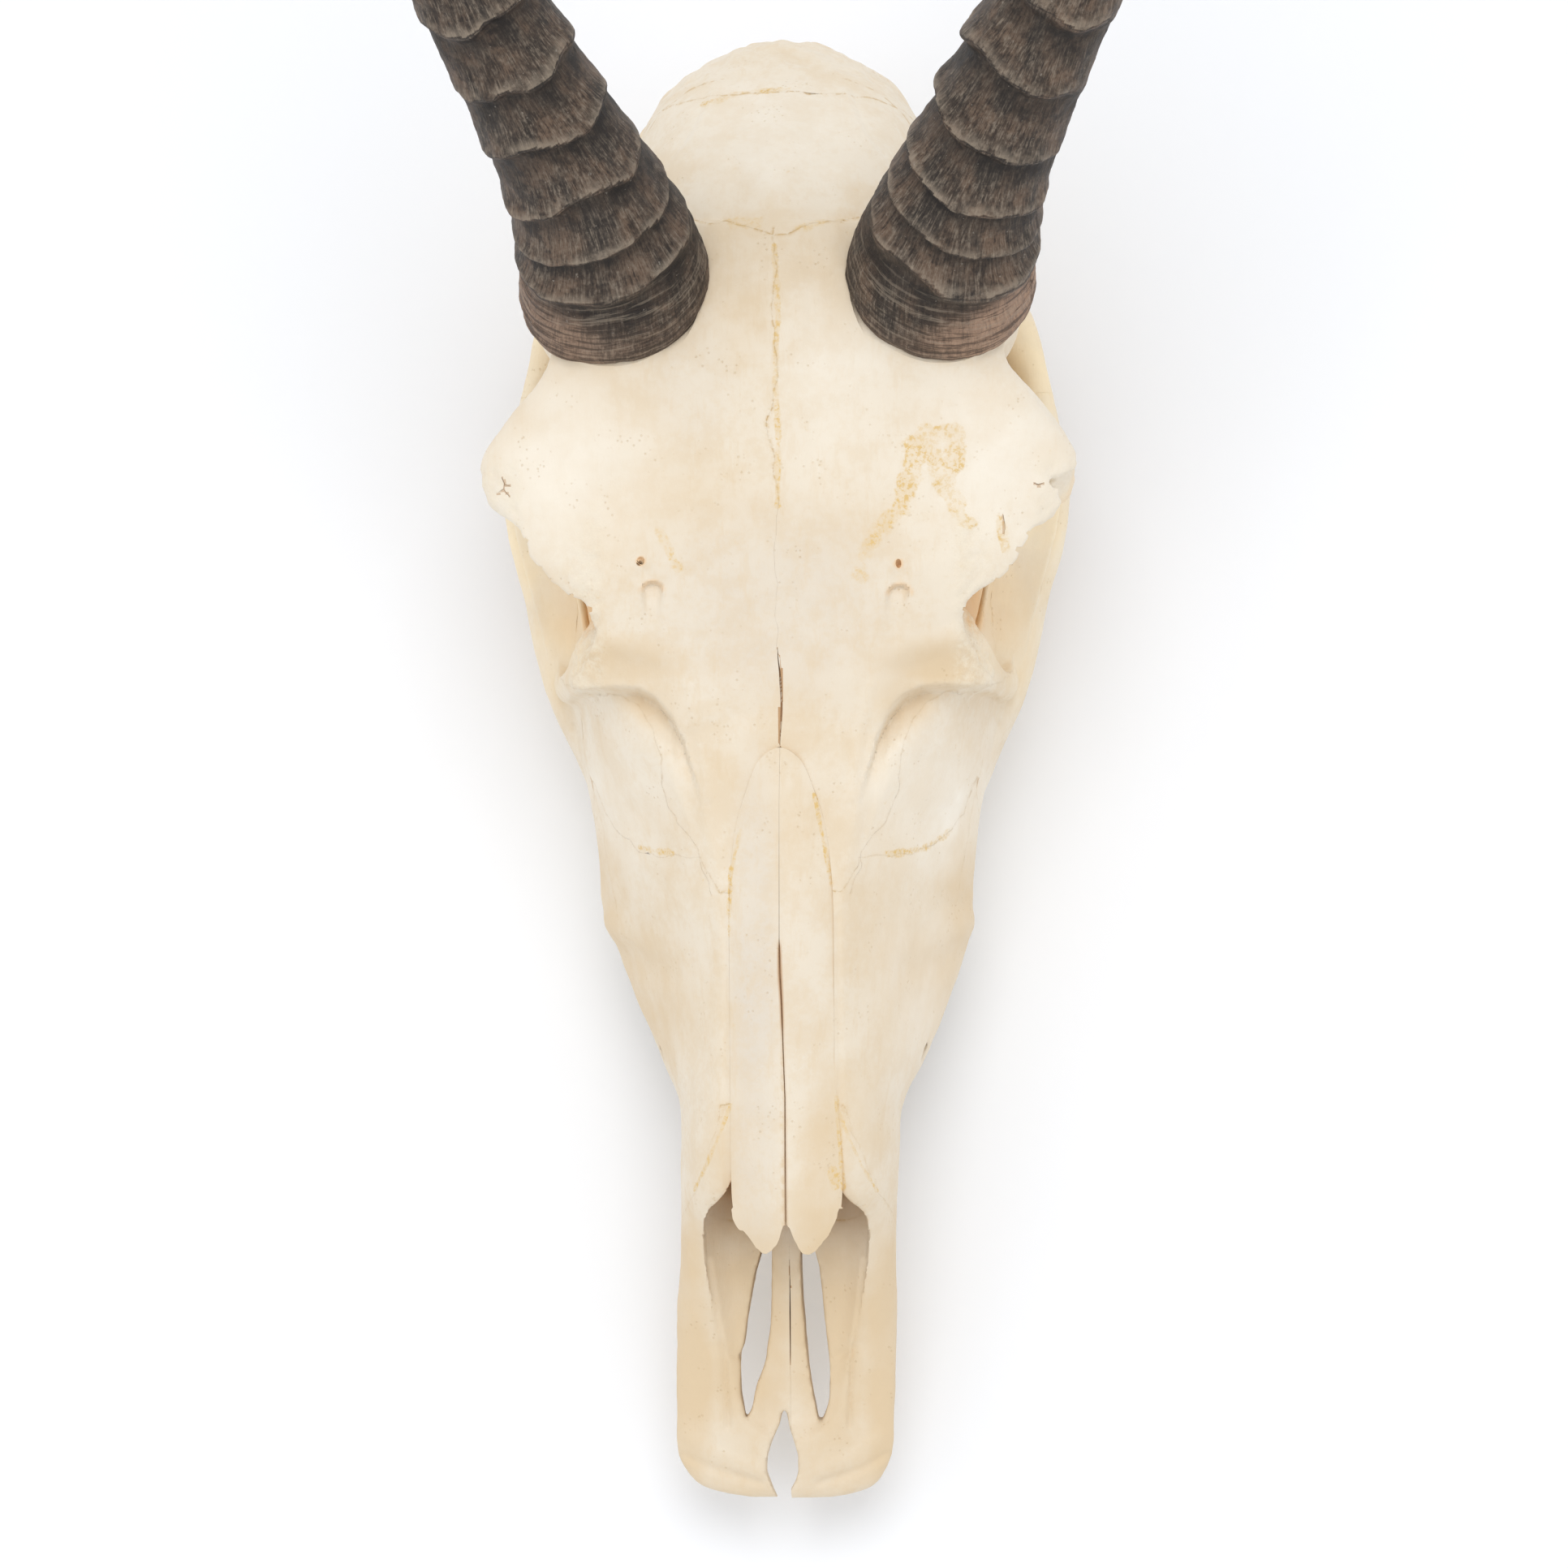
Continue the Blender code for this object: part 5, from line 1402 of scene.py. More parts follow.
class Wiring:
    """Adds nodes to a tree and joins them up."""

    def __init__(self, tree):
        self.tree = tree

    def add(self, kind, inputs=(), out=0, **settings):
        node = self.tree.nodes.new(kind)
        for key, value in settings.items():
            setattr(node, key, value)
        for key, value in dict(inputs).items():
            self.feed(node.inputs[key], value)
        return node.outputs[out] if out is not None else node

    def feed(self, socket, value):
        if isinstance(value, bpy.types.NodeSocket):
            self.tree.links.new(value, socket)
        else:
            socket.default_value = value

    def math(self, operation, a, b=0.0, c=0.0, clamp=False):
        return self.add("ShaderNodeMath", {0: a, 1: b, 2: c}, operation=operation, use_clamp=clamp)

    def times(self, a, b, clamp=False):
        return self.math("MULTIPLY", a, b, clamp=clamp)

    def plus(self, a, b, clamp=False):
        return self.math("ADD", a, b, clamp=clamp)

    def minus(self, a, b):
        return self.math("SUBTRACT", a, b)

    def times_plus(self, a, b, c):
        """a times b, plus c."""
        return self.math("MULTIPLY_ADD", a, b, c)

    def vector(self, operation, a, b=(0, 0, 0), scale=1.0):
        out = 1 if operation in ("DOT_PRODUCT", "LENGTH") else 0
        return self.add("ShaderNodeVectorMath", {0: a, 1: b, 3: scale}, out, operation=operation)

    def between(self, value, low, high, start=0.0, end=1.0):
        """Runs softly from start to end while the value runs from low to high."""
        inputs = {0: value, 1: low, 2: high, 3: start, 4: end}
        return self.add("ShaderNodeMapRange", inputs, interpolation_type="SMOOTHSTEP")

    def mix(self, factor, a, b):
        return self.add("ShaderNodeMix", {0: factor, 6: a, 7: b}, 2, data_type="RGBA")

    def noise(self, vector, scale, detail=2.0, rough=0.5):
        inputs = {"Vector": vector, "Scale": scale, "Detail": detail, "Roughness": rough}
        return self.add("ShaderNodeTexNoise", inputs)

    def value(self, name):
        """A number that is stored on the mesh under this name."""
        return self.add("ShaderNodeAttribute", out=2, attribute_name=name)

    def winding(self, turn, along, seed=None):
        """A function that gives points round a horn, drawn out along it by the given factor."""
        angle = self.times(turn, 2 * math.pi)
        cosine, sine = self.math("COSINE", angle), self.math("SINE", angle)

        def around(stretch):
            lift = self.times(along, stretch)
            if seed is not None:
                lift = self.plus(lift, seed)
            return self.add("ShaderNodeCombineXYZ", {0: cosine, 1: sine, 2: lift})

        return around

    def emboss(self, shader, height, strength, depth):
        """Roughens the shader's surface by a height, over a depth in millimetres."""
        inputs = {"Strength": strength, "Distance": depth * MM, "Height": height}
        self.feed(shader.inputs["Normal"], self.add("ShaderNodeBump", inputs))


def colour(value):
    return (*value, 1.0)


def grain_group():
    """Mottling, pores and long fine lines, shared by bone and teeth."""
    tree = bpy.data.node_groups.new("bone grain", "ShaderNodeTree")
    for name, kind in (("Vector", "NodeSocketVector"), ("Lines", "NodeSocketFloat")):
        tree.interface.new_socket(name, in_out="INPUT", socket_type=kind)
    for name in ("Mottle", "Pores", "Height"):
        tree.interface.new_socket(name, in_out="OUTPUT", socket_type="NodeSocketFloat")
    wires = Wiring(tree)
    given = wires.add("NodeGroupInput", out=None)
    result = wires.add("NodeGroupOutput", out=None)
    place = given.outputs["Vector"]
    blotch = wires.noise(place, 95.0, 4.0, 0.6)
    fine = wires.noise(place, 620.0, 3.0, 0.65)
    mottle = wires.times_plus(blotch, 0.6, wires.times(fine, 0.4))
    cells = wires.add("ShaderNodeTexVoronoi", {"Vector": place, "Scale": 780.0, "Randomness": 1.0})
    patchy = wires.between(wires.noise(place, 130.0, 2.0), 0.5, 0.68)
    pores = wires.times(wires.between(cells, 0.24, 0.1), patchy)
    stretched = wires.vector("MULTIPLY", place, (1.0, 0.06, 1.0))
    lines = wires.times(wires.noise(stretched, 900.0, 2.0, 0.6), given.outputs["Lines"])
    height = wires.plus(wires.times(fine, 0.55), wires.times(lines, 0.5))
    height = wires.minus(height, wires.times(pores, 0.8))
    for name, socket in (("Mottle", mottle), ("Pores", pores), ("Height", height)):
        tree.links.new(socket, result.inputs[name])
    return tree


def new_material(name, roughness):
    """A material, the wiring of its tree and its shader."""
    material = bpy.data.materials.new(name)
    material.use_nodes = True
    shader = material.node_tree.nodes["Principled BSDF"]
    shader.inputs["Roughness"].default_value = roughness
    return material, Wiring(material.node_tree), shader


def bone_material(look, grain):
    """Cream bone with zones of other tones, stained sutures, golden marks and pores."""
    material, wires, shader = new_material("cleaned bone", 0.6)
    place = wires.add("ShaderNodeTexCoord", out=3)
    group = wires.add("ShaderNodeGroup", {"Vector": place, "Lines": 1.0}, None, node_tree=grain)
    mottle, pores, height = (group.outputs[name] for name in ("Mottle", "Pores", "Height"))

    # Warm, grey and pale zones, with mottling and fine streaks; the pale zones are partly painted light on
    # the cheeks and the flanks.
    wide = wires.noise(place, 17.0, 3.0, 0.55)
    middle = wires.noise(place, 48.0, 3.0, 0.6)
    yellow = wires.times_plus(wires.between(wide, 0.4, 0.68), 0.25, wires.value("warm"))
    yellow = wires.plus(yellow, wires.between(middle, 0.3, 0.7, -0.22, 0.28), clamp=True)
    base = wires.mix(yellow, colour(look.cream), colour(look.warm))
    cool = wires.times(wires.value("cool"), wires.between(middle, 0.3, 0.7, 0.5, 0.95))
    base = wires.mix(cool, base, colour(look.cool))
    base = wires.mix(wires.between(mottle, 0.42, 0.6, 0.0, 0.3), base, colour(look.warm))
    streaks = wires.noise(wires.vector("MULTIPLY", place, (1.0, 0.12, 1.0)), 330.0, 4.0, 0.7)
    base = wires.mix(wires.between(streaks, 0.52, 0.68, 0.0, 0.3), base, colour(look.warm))
    cloud = wires.between(wires.noise(place, 31.0, 4.0, 0.6), 0.42, 0.7, 0.45, 1.0)
    base = wires.mix(wires.times(wires.value("pale"), cloud), base, colour(look.pale))

    # Stains along the sutures and golden marks.
    flecks = wires.noise(place, 640.0, 4.0, 0.75)
    beads = wires.between(wires.noise(place, 520.0, 3.0, 0.7), 0.45, 0.58, 0.05, 0.95)
    seam = wires.times(wires.math("POWER", wires.value("seam"), 4.5), beads)
    base = wires.mix(seam, base, colour(look.seam))
    clump = wires.noise(place, 190.0, 4.0, 0.7)
    grains = wires.noise(place, 1000.0, 4.0, 0.7)
    reach = wires.times_plus(wires.minus(clump, 0.5), 2.0, wires.value("stain"))
    patch = wires.times_plus(wires.between(grains, 0.46, 0.6), 0.5, 0.2)
    patch = wires.times(patch, wires.between(reach, 0.3, 0.7))
    density = wires.between(wires.noise(place, 130.0, 3.0, 0.6), 0.4, 0.56, 0.6, 1.4)
    patch = wires.times(patch, density, clamp=True)
    base = wires.mix(patch, base, colour(look.stain))
    # Golden flanks, bright as painted light where they lie in shade.
    base = wires.mix(wires.times(wires.value("gold_and_painted_light"), cloud), base, colour(look.gold_and_painted_light))

    # Tan hollows with painted shade deep in the nose and the sockets, chalky breaks, pores and cuts.
    tan_and_shade = wires.times(wires.value("hollow"), wires.between(middle, 0.2, 0.8, 0.75, 1.0))
    base = wires.mix(tan_and_shade, base, colour(look.hollow))
    chalk = wires.times(wires.value("broken"), wires.between(flecks, 0.35, 0.7, 0.0, 0.6))
    base = wires.mix(chalk, base, CHALK)
    base = wires.mix(wires.times(pores, 0.35), base, colour(look.seam))
    base = wires.mix(wires.value("inside"), base, BONE_INSIDE)
    wires.feed(shader.inputs["Base Color"], base)
    wires.feed(shader.inputs["Roughness"], wires.between(mottle, 0.35, 0.7, 0.52, 0.72))
    rough_edge = wires.times(wires.value("broken"), wires.noise(place, 900.0, 4.0, 0.7))
    wires.emboss(shader, wires.plus(height, wires.times(rough_edge, 2.0)), 0.6, 0.2)
    return material


def shared_bone_material(look):
    """The bone's material, made once for all the bones."""
    return bpy.data.materials.get("cleaned bone") or bone_material(look, grain_group())


def tooth_material(grain):
    """Yellowish enamel with brown stains at the neck and a dark pit in the worn face."""
    material, wires, shader = new_material("cheek tooth", 0.35)
    place = wires.add("ShaderNodeTexCoord", out=3)
    group = wires.add("ShaderNodeGroup", {"Vector": place, "Lines": 0.4}, None, node_tree=grain)
    pit = wires.value("pit")
    neck = wires.value("neck")
    enamel = wires.mix(wires.between(group.outputs["Mottle"], 0.4, 0.65), ENAMEL, ENAMEL_YELLOW)
    streak = wires.noise(wires.vector("MULTIPLY", place, (1.0, 1.0, 0.25)), 420.0, 4.0, 0.65)
    enamel = wires.mix(wires.times(wires.between(streak, 0.5, 0.66), neck), enamel, TOOTH_STAIN)
    wires.feed(shader.inputs["Base Color"], wires.mix(pit, enamel, TOOTH_PIT))
    wires.feed(shader.inputs["Roughness"], wires.between(pit, 0.0, 1.0, 0.32, 0.7))
    wires.emboss(shader, group.outputs["Height"], 0.35, 0.1)
    return material


def horn_material(look):
    """Dark fibrous horn with worn ring edges lightened by a painted highlight, painted shade between the
    rings and a reddish rim.
    """
    material, wires, shader = new_material("horn sheath", 0.6)
    shader.inputs["Specular IOR Level"].default_value = 0.25
    place = wires.add("ShaderNodeTexCoord", out=3)
    along, crest, phase = wires.value("along"), wires.value("crest"), wires.value("phase")
    around = wires.winding(wires.value("turn"), along)
    fibres = wires.noise(around(13.0), 27.0, 4.0, 0.7)
    threads = wires.noise(around(7.0), 58.0, 3.0, 0.7)
    blotch = wires.noise(around(34.0), 2.2, 5.0, 0.62)
    dust = wires.noise(place, 1100.0, 3.0, 0.7)
    pits = wires.noise(place, 520.0, 4.0, 0.75)
    grey = wires.times_plus(fibres, 0.4, wires.times_plus(threads, 0.25, wires.times(dust, 0.15)))
    grey = wires.times_plus(pits, 0.2, grey)
    stains = wires.noise(place, 150.0, 4.0, 0.7)
    base = wires.mix(wires.between(blotch, 0.36, 0.64), colour(look.dark), colour(look.brown))
    base = wires.mix(wires.between(stains, 0.56, 0.4, 0.0, 0.6), base, HORN_STAIN)
    base = wires.mix(wires.between(grey, 0.48, 0.62, 0.0, 0.75), base, colour(look.fibre))
    base = wires.mix(wires.between(grey, 0.5, 0.4, 0.0, 0.75), base, HORN_DARKEST)

    # Worn edges of the rings, lightened as a painted highlight on their lips, and painted shade beneath them.
    worn = wires.times(wires.between(phase, 0.18, 0.0), wires.between(crest, 0.1, 0.5))
    worn = wires.times(worn, wires.between(wires.noise(place, 190.0, 5.0, 0.75), 0.38, 0.62))
    base = wires.mix(wires.times(worn, 0.62), base, colour(look.crest))
    shade = wires.times(wires.between(phase, 0.3, 0.78), wires.between(phase, 0.985, 0.92))
    shade = wires.times(shade, wires.between(stains, 0.35, 0.6, 0.95, 0.55))
    base = wires.mix(shade, base, HORN_SHADE)

    # The reddish rim at the base, with its growth lines.
    red = wires.times_plus(wires.noise(around(22.0), 1.4, 2.0), 1.2, wires.value("outer"))
    root = wires.times_plus(red, 0.007, 0.004)
    root = wires.between(wires.minus(along, root), 0.004, -0.003)
    root = wires.times(root, wires.between(red, 0.1, 1.2, 0.3, 1.0))
    root = wires.times(root, wires.value("ruddy"))
    base = wires.mix(wires.times(root, wires.between(grey, 0.4, 0.58, 0.55, 1.0)), base, colour(look.rim))
    bands = wires.noise(around(900.0), 1.2, 4.0, 0.7)
    banded = wires.times(wires.between(bands, 0.5, 0.6), wires.between(along, 0.02, 0.01))
    base = wires.mix(wires.times(banded, 0.65), base, HORN_BAND)
    light = wires.times(wires.between(bands, 0.46, 0.38), wires.between(along, 0.02, 0.01))
    base = wires.mix(wires.times(light, 0.35), base, colour(look.crest))
    specks = wires.between(wires.noise(place, 800.0, 2.0, 0.6), 0.7, 0.76, 0.0, 0.5)
    base = wires.mix(specks, base, HORN_SPECK)
    wires.feed(shader.inputs["Base Color"], base)
    wires.feed(shader.inputs["Roughness"], wires.between(grey, 0.35, 0.65, 0.45, 0.7))
    wires.emboss(shader, wires.minus(grey, wires.times(banded, 0.3)), 0.9, 0.7)
    return material


def horn_base(word):
    """A horn's base as if on the left: its centre, the way it faces and its plane's two directions."""
    facing = Vector((HORN_BASE_LEAN, math.cos(HORN_BASE_TILT), math.sin(HORN_BASE_TILT))).normalized()
    across = facing.cross(Vector((0, 0, 1))).normalized()
    return Vector(HORN_BASE[word]) - facing * HORN_BASE_DROP, facing, across, across.cross(facing)


def ring_places(word):
    """Where along the horn each ring's crest lies: crowded at the base, then evenly spaced."""
    steps = RING_STEPS[word]
    return np.cumsum([*steps, *[RING_SPACING] * (RING_COUNT - len(steps))])


def ring_count(word, lengths):
    """How many rings lie below each length, with fractions between two crests."""
    places = [0.0, *ring_places(word), HORN_LENGTH + RING_SPACING]
    return np.interp(lengths, places, np.arange(len(places)))


def horn_axis(word):
    """Points at each millimetre along a horn's axis, as if on the left."""
    lengths = np.arange(HORN_LENGTH + 1)
    box = np.ones(HORN_BEND_LENGTH) / HORN_BEND_LENGTH
    angles = []
    for table in (HORN_RISE, HORN_TURN[word]):
        bend = np.radians(read_off(table, lengths))
        angles.append(np.convolve(np.pad(bend, HORN_BEND_LENGTH // 2, "edge"), box, "valid"))
    rise, turn = angles
    ways = np.stack([np.sin(turn) * np.cos(rise), np.cos(turn) * np.cos(rise), np.sin(rise)], axis=1)
    points = np.array(HORN_BASE[word]) + np.vstack([np.zeros(3), np.cumsum(ways[:-1], axis=0)])
    return lengths, points


def curve_points(node, points):
    """Gives a Float Curve node a smooth line through these points."""
    curve = node.mapping.curves[0]
    while len(curve.points) < len(points):
        curve.points.new(0.5, 0.5)
    for point, (a, b) in zip(curve.points, sorted(points)):
        point.location = (a, b)
        point.handle_type = "AUTO_CLAMPED"
    node.mapping.update()


def horn_tree(material):
    """Geometry nodes that grow a ringed, fibrous horn along a line of points."""
    tree = bpy.data.node_groups.new("ringed horn", "GeometryNodeTree")
    tree.is_modifier = True
    face = tree.interface
    face.new_socket("Geometry", in_out="INPUT", socket_type="NodeSocketGeometry")
    for name, kind, default in (
        ("Rows", "Int", 600), ("Sides", "Int", 128), ("Ring Height", "Float", 0.003),
        ("Fibre Depth", "Float", 0.0001), ("Ring Slant", "Float", 0.0), ("Seed", "Float", 0.0),
        ("Base Facing", "Vector", (0.1, 0.3, 0.9)), ("Base Corner", "Float", 0.1),
        ("Base Drop", "Float", 0.003), ("Front", "Vector", (0.0, -1.0, 0.0)),
        ("Outer", "Vector", (1.0, 0.0, 0.0)),
    ):
        face.new_socket(name, in_out="INPUT", socket_type=f"NodeSocket{kind}").default_value = default
    face.new_socket("Geometry", in_out="OUTPUT", socket_type="NodeSocketGeometry")
    wires = Wiring(tree)
    given = wires.add("NodeGroupInput", out=None).outputs
    result = wires.add("NodeGroupOutput", out=None)

    def named(name, kind="FLOAT"):
        return wires.add("GeometryNodeInputNamedAttribute", {"Name": name}, data_type=kind)

    def store(geometry, name, value, kind="FLOAT"):
        inputs = {"Geometry": geometry, "Name": name, "Value": value}
        return wires.add("GeometryNodeStoreNamedAttribute", inputs, data_type=kind)

    def pushed(geometry, way, amount):
        offset = wires.vector("SCALE", way, scale=amount)
        return wires.add("GeometryNodeSetPosition", {"Geometry": geometry, "Offset": offset})

    # The smooth sheath round the line.
    line = wires.add("GeometryNodeMeshToCurve", {"Mesh": given["Geometry"]})
    line = wires.add("GeometryNodeResampleCurve", {"Curve": line, "Count": given["Rows"]})
    line = wires.add("GeometryNodeSetCurveNormal", {"Curve": line}, mode="Z_UP")
    line = store(line, "core", wires.add("GeometryNodeInputPosition"), "FLOAT_VECTOR")
    ring = wires.add("GeometryNodeCurvePrimitiveCircle", {"Resolution": given["Sides"], "Radius": 1.0})
    ring = store(ring, "turn", wires.add("GeometryNodeSplineParameter"))
    skin = wires.add("GeometryNodeCurveToMesh", {
        "Curve": line, "Profile Curve": ring, "Scale": named("reach"), "Fill Caps": True,
    })

    along, core = named("along"), named("core", "FLOAT_VECTOR")
    seat, reach = named("seat"), named("reach")
    place = wires.add("GeometryNodeInputPosition")
    away = wires.vector("NORMALIZE", wires.vector("SUBTRACT", place, core))
    frontward = wires.vector("DOT_PRODUCT", away, given["Front"])
    outward = wires.vector("DOT_PRODUCT", away, given["Outer"])
    around = wires.winding(named("turn"), along, given["Seed"])

    # The rings, strongest in front and on the inner side.
    sway = wires.minus(wires.noise(around(30.0), 1.4, 0.5), 0.5)
    shift = wires.times_plus(outward, given["Ring Slant"], wires.times(sway, 0.5))
    phase = wires.math("FRACT", wires.plus(named("rings"), shift))
    shape = wires.add("ShaderNodeFloatCurve", {"Value": phase}, None)
    curve_points(shape, RING_SHAPE)
    uneven = wires.between(wires.noise(around(26.0), 1.1, 2.0), 0.3, 0.7, 0.75, 1.1)
    strong = wires.minus(wires.times(frontward, 0.85), wires.times(outward, named("inner")))
    strong = wires.between(strong, -0.35, 0.85, 0.16, 1.0)
    crest = wires.times(wires.times(shape.outputs[0], named("lift")), uneven)
    crest = wires.times(crest, strong)
    swell = wires.times(crest, given["Ring Height"])

    # Fibres, knots and the growth lines near the base.
    fibre = wires.minus(wires.noise(around(6.0), 14.0, 4.0, 0.7), 0.5)
    swell = wires.times_plus(fibre, wires.times(given["Fibre Depth"], 3.0), swell)
    knots = wires.minus(wires.noise(around(60.0), 3.2, 3.0, 0.6), 0.5)
    swell = wires.times_plus(knots, 0.0011, swell)
    bands = wires.minus(wires.noise(around(620.0), 1.1, 2.0, 0.6), 0.5)
    swell = wires.times_plus(wires.times(bands, named("rim")), 0.0016, swell)

    # The base's outer front corner, and its slope onto the slanting seat.
    corner = wires.times_plus(frontward, 0.62, wires.times(outward, 0.78))
    corner = wires.math("POWER", wires.math("MAXIMUM", corner, 0.0), 6.0)
    wide = wires.times(corner, given["Base Corner"])
    wide = wires.times(wires.times(wide, reach), wires.times(seat, seat))
    taper = wires.between(reach, 0.0006, 0.006)
    skin = pushed(skin, away, wires.times_plus(swell, taper, wide))
    lean = wires.vector("DOT_PRODUCT", wires.vector("SUBTRACT", place, core), given["Base Facing"])
    lean = wires.plus(lean, given["Base Drop"])
    skin = pushed(skin, given["Base Facing"], wires.times(lean, wires.times(seat, -1.0)))
    skin = store(skin, "outer", outward)
    skin = store(skin, "crest", crest)
    skin = store(skin, "phase", phase)
    for name in ("core", "seat", "lift", "reach", "rings", "rim", "inner"):
        skin = wires.add("GeometryNodeRemoveAttribute", {"Geometry": skin, "Name": name})
    skin = wires.add("GeometryNodeSetShadeSmooth", {"Geometry": skin})
    skin = wires.add("GeometryNodeRealizeInstances", {"Geometry": skin})
    skin = wires.add("GeometryNodeSetMaterial", {"Geometry": skin, "Material": material})
    tree.links.new(skin, result.inputs["Geometry"])
    return tree


def tooth_lobe(centre, along, down, length, width, side):
    """A lobe of a cheek tooth: ribbed outside, round inside, with a crescent pit in its worn face."""
    rings = []
    for depth, grow, slim in TOOTH_ROWS:
        ring = []
        for angle in np.arange(ROUND) * 2 * math.pi / ROUND:
            c, s = math.cos(angle), math.sin(angle)
            out = math.copysign(abs(c) ** 0.8, c) * width / 2 * (1 - slim)
            back = math.copysign(abs(s) ** 0.75, s) * length / 2
            if c > 0:
                ribs = 0.8 * (math.exp(-((abs(s) - 0.93) / 0.16) ** 2) + 0.5 * math.exp(-((s / 0.2) ** 2)))
                out = width * 0.36 * c ** 0.35 * (1 - slim) + ribs * c ** 0.5
            point = centre + Vector((out, 0, 0)) * grow + along * back * grow + down * depth
            ring.append((side * point.x, point.y, point.z))
        rings.append(ring)
    return loft("lobe", rings)


def tooth_row(side):
    """The upper cheek teeth of one side and the line of their worn faces."""
    start, end = Vector(ROW_START), Vector(ROW_END)
    along = (end - start).normalized()
    down = Vector((0, along.z, -along.y)).normalized()
    total = sum(length for length, _, _ in TEETH)
    scale = (end - start).length / total
    place = 0.0
    shapes = []
    for length, width, lobes in TEETH:
        length *= scale
        for lobe in range(lobes):
            share = (length - 0.5) / lobes
            middle = place + 0.25 + share * (lobe + 0.5)
            centre = start + along * middle
            centre.x += ROW_BOW * math.sin(math.pi * middle / (total * scale))
            reach = share * (LOBE_OVERLAP if lobes == 2 else 1.0)
            shapes.append(tooth_lobe(centre, along, down, reach, width, side))
        place += length
    return joined(shapes, "teeth"), start, down


def nasal_bone(word, side):
    """One nasal bone: an arched plate with a chipped front edge and a slit along the midline."""
    rows = smooth_rows(NASAL, 30)
    front_y, _, front_top, _ = NASAL[0]
    rings = []
    for y in np.append(np.arange(NASAL_TIP_END - 4.6, NASAL_END, 0.45), NASAL_LAST):
        half, top, thick = (np.interp(y, rows[:, 0], column) for column in rows.T[1:])
        if y <= NASAL_SHOULDER:
            half = NASAL_WIDEST
        if y <= front_y:
            top = front_top - NASAL_TIP_RISE * (front_y - y)
            thick = NASAL_TIP_THICK
        if side > 0:
            half = half + 1.5 * soft_step(96, 68, y)
        arch = max(half, NASAL_WIDEST) if y < NASAL_NARROWS else half
        inner = read_off(NASAL_GAP, y) / 2
        middle = midline_at(y) * side
        deep = min(inner, SLIT_FLOOR)
        upper, lower = [], []
        for t in np.linspace(0, 1, 26):
            x = middle + inner + (half - middle - inner) * t
            low = middle + deep + (half - middle - deep) * t
            upper.append((side * x, y, nasal_height(abs(x), arch, top)))
            lower.append((side * low, y, nasal_height(abs(low), arch, top) - thick))
        height = upper[0][2]
        rings.append(upper + lower[::-1] + [(side * (middle + deep), y, height - SLIT_DEPTH)])
    front = smooth_rows(NASAL_TIPS[word], 6)
    front = [(side * x, y + 0.25 * float(lumps([[x, y]], 0.8, 9)[0])) for x, y in front]
    corners = ((20.0, front[-1][1]), (20.0, 30.0), (-2.0, 30.0), (-2.0, front[0][1]))
    outline = front + [(side * x, y) for x, y in corners]
    return cut_away(loft("nasal", rings), [prism("chipping", outline, "z", (-30.0, 30.0))])


class SKULL_OT_bones(bpy.types.Operator):
    """Model the skull in one skin, carve its surface and part it into bones along the sutures"""

    bl_idname = "skull.bones"
    bl_label = "Skull bones"

    def execute(self, context):
        look = context.scene.skull_bone
        gap, wander = look.suture_gap / MM, look.suture_wander / MM
        material = shared_bone_material(look)
        skull = remeshed(joined(skull_shapes(), "skull"), look.grain, SOFTENING)
        skull = cut_away(skull, skull_openings())
        sheets = [eye_floor(side) for side in BOTH]
        ribs = [rod("rib", rows, side, sides=12) for rows in EYE_RIBS for side in BOTH]
        skull = remeshed(joined([skull, *sheets, *ribs], "skull"), look.grain, SOFTENING)
        set_points(skull.data, carve(points_of(skull.data), normals_of(skull.data)))
        skull = cut_away(skull, seats(gap))
        set_points(skull.data, wandered(points_of(skull.data), wander))
        walls = sutures(gap)
        lines = [wall[:3] for wall in walls]
        skull = cut_away(skull, [wall[3] for wall in walls])
        shuffled = points_of(skull.data)
        set_value(skull.data, "seam", seam_stain(shuffled, lines))
        set_value(skull.data, "inside", cut_open(middles_of(skull.data), lines, gap), "FACE")
        set_points(skull.data, settled(shuffled, wander))
        seeds = bone_seeds()
        for piece in sorted(loose_pieces(skull), key=lambda piece: -len(piece.data.vertices)):
            name = next((name for name, spot in seeds.items() if holds(piece, spot)), None)
            if name is None:
                bpy.data.objects.remove(piece, do_unlink=True)
                continue
            del seeds[name]
            paint(piece.data)
            piece.data.shade_smooth()
            piece.data.set_sharp_from_angle(angle=SHARP)
            placed(piece, f"{name}_bone", material, name)
        if seeds:
            raise RuntimeError(f"no bone holds the points of {sorted(seeds)}")
        return {"FINISHED"}


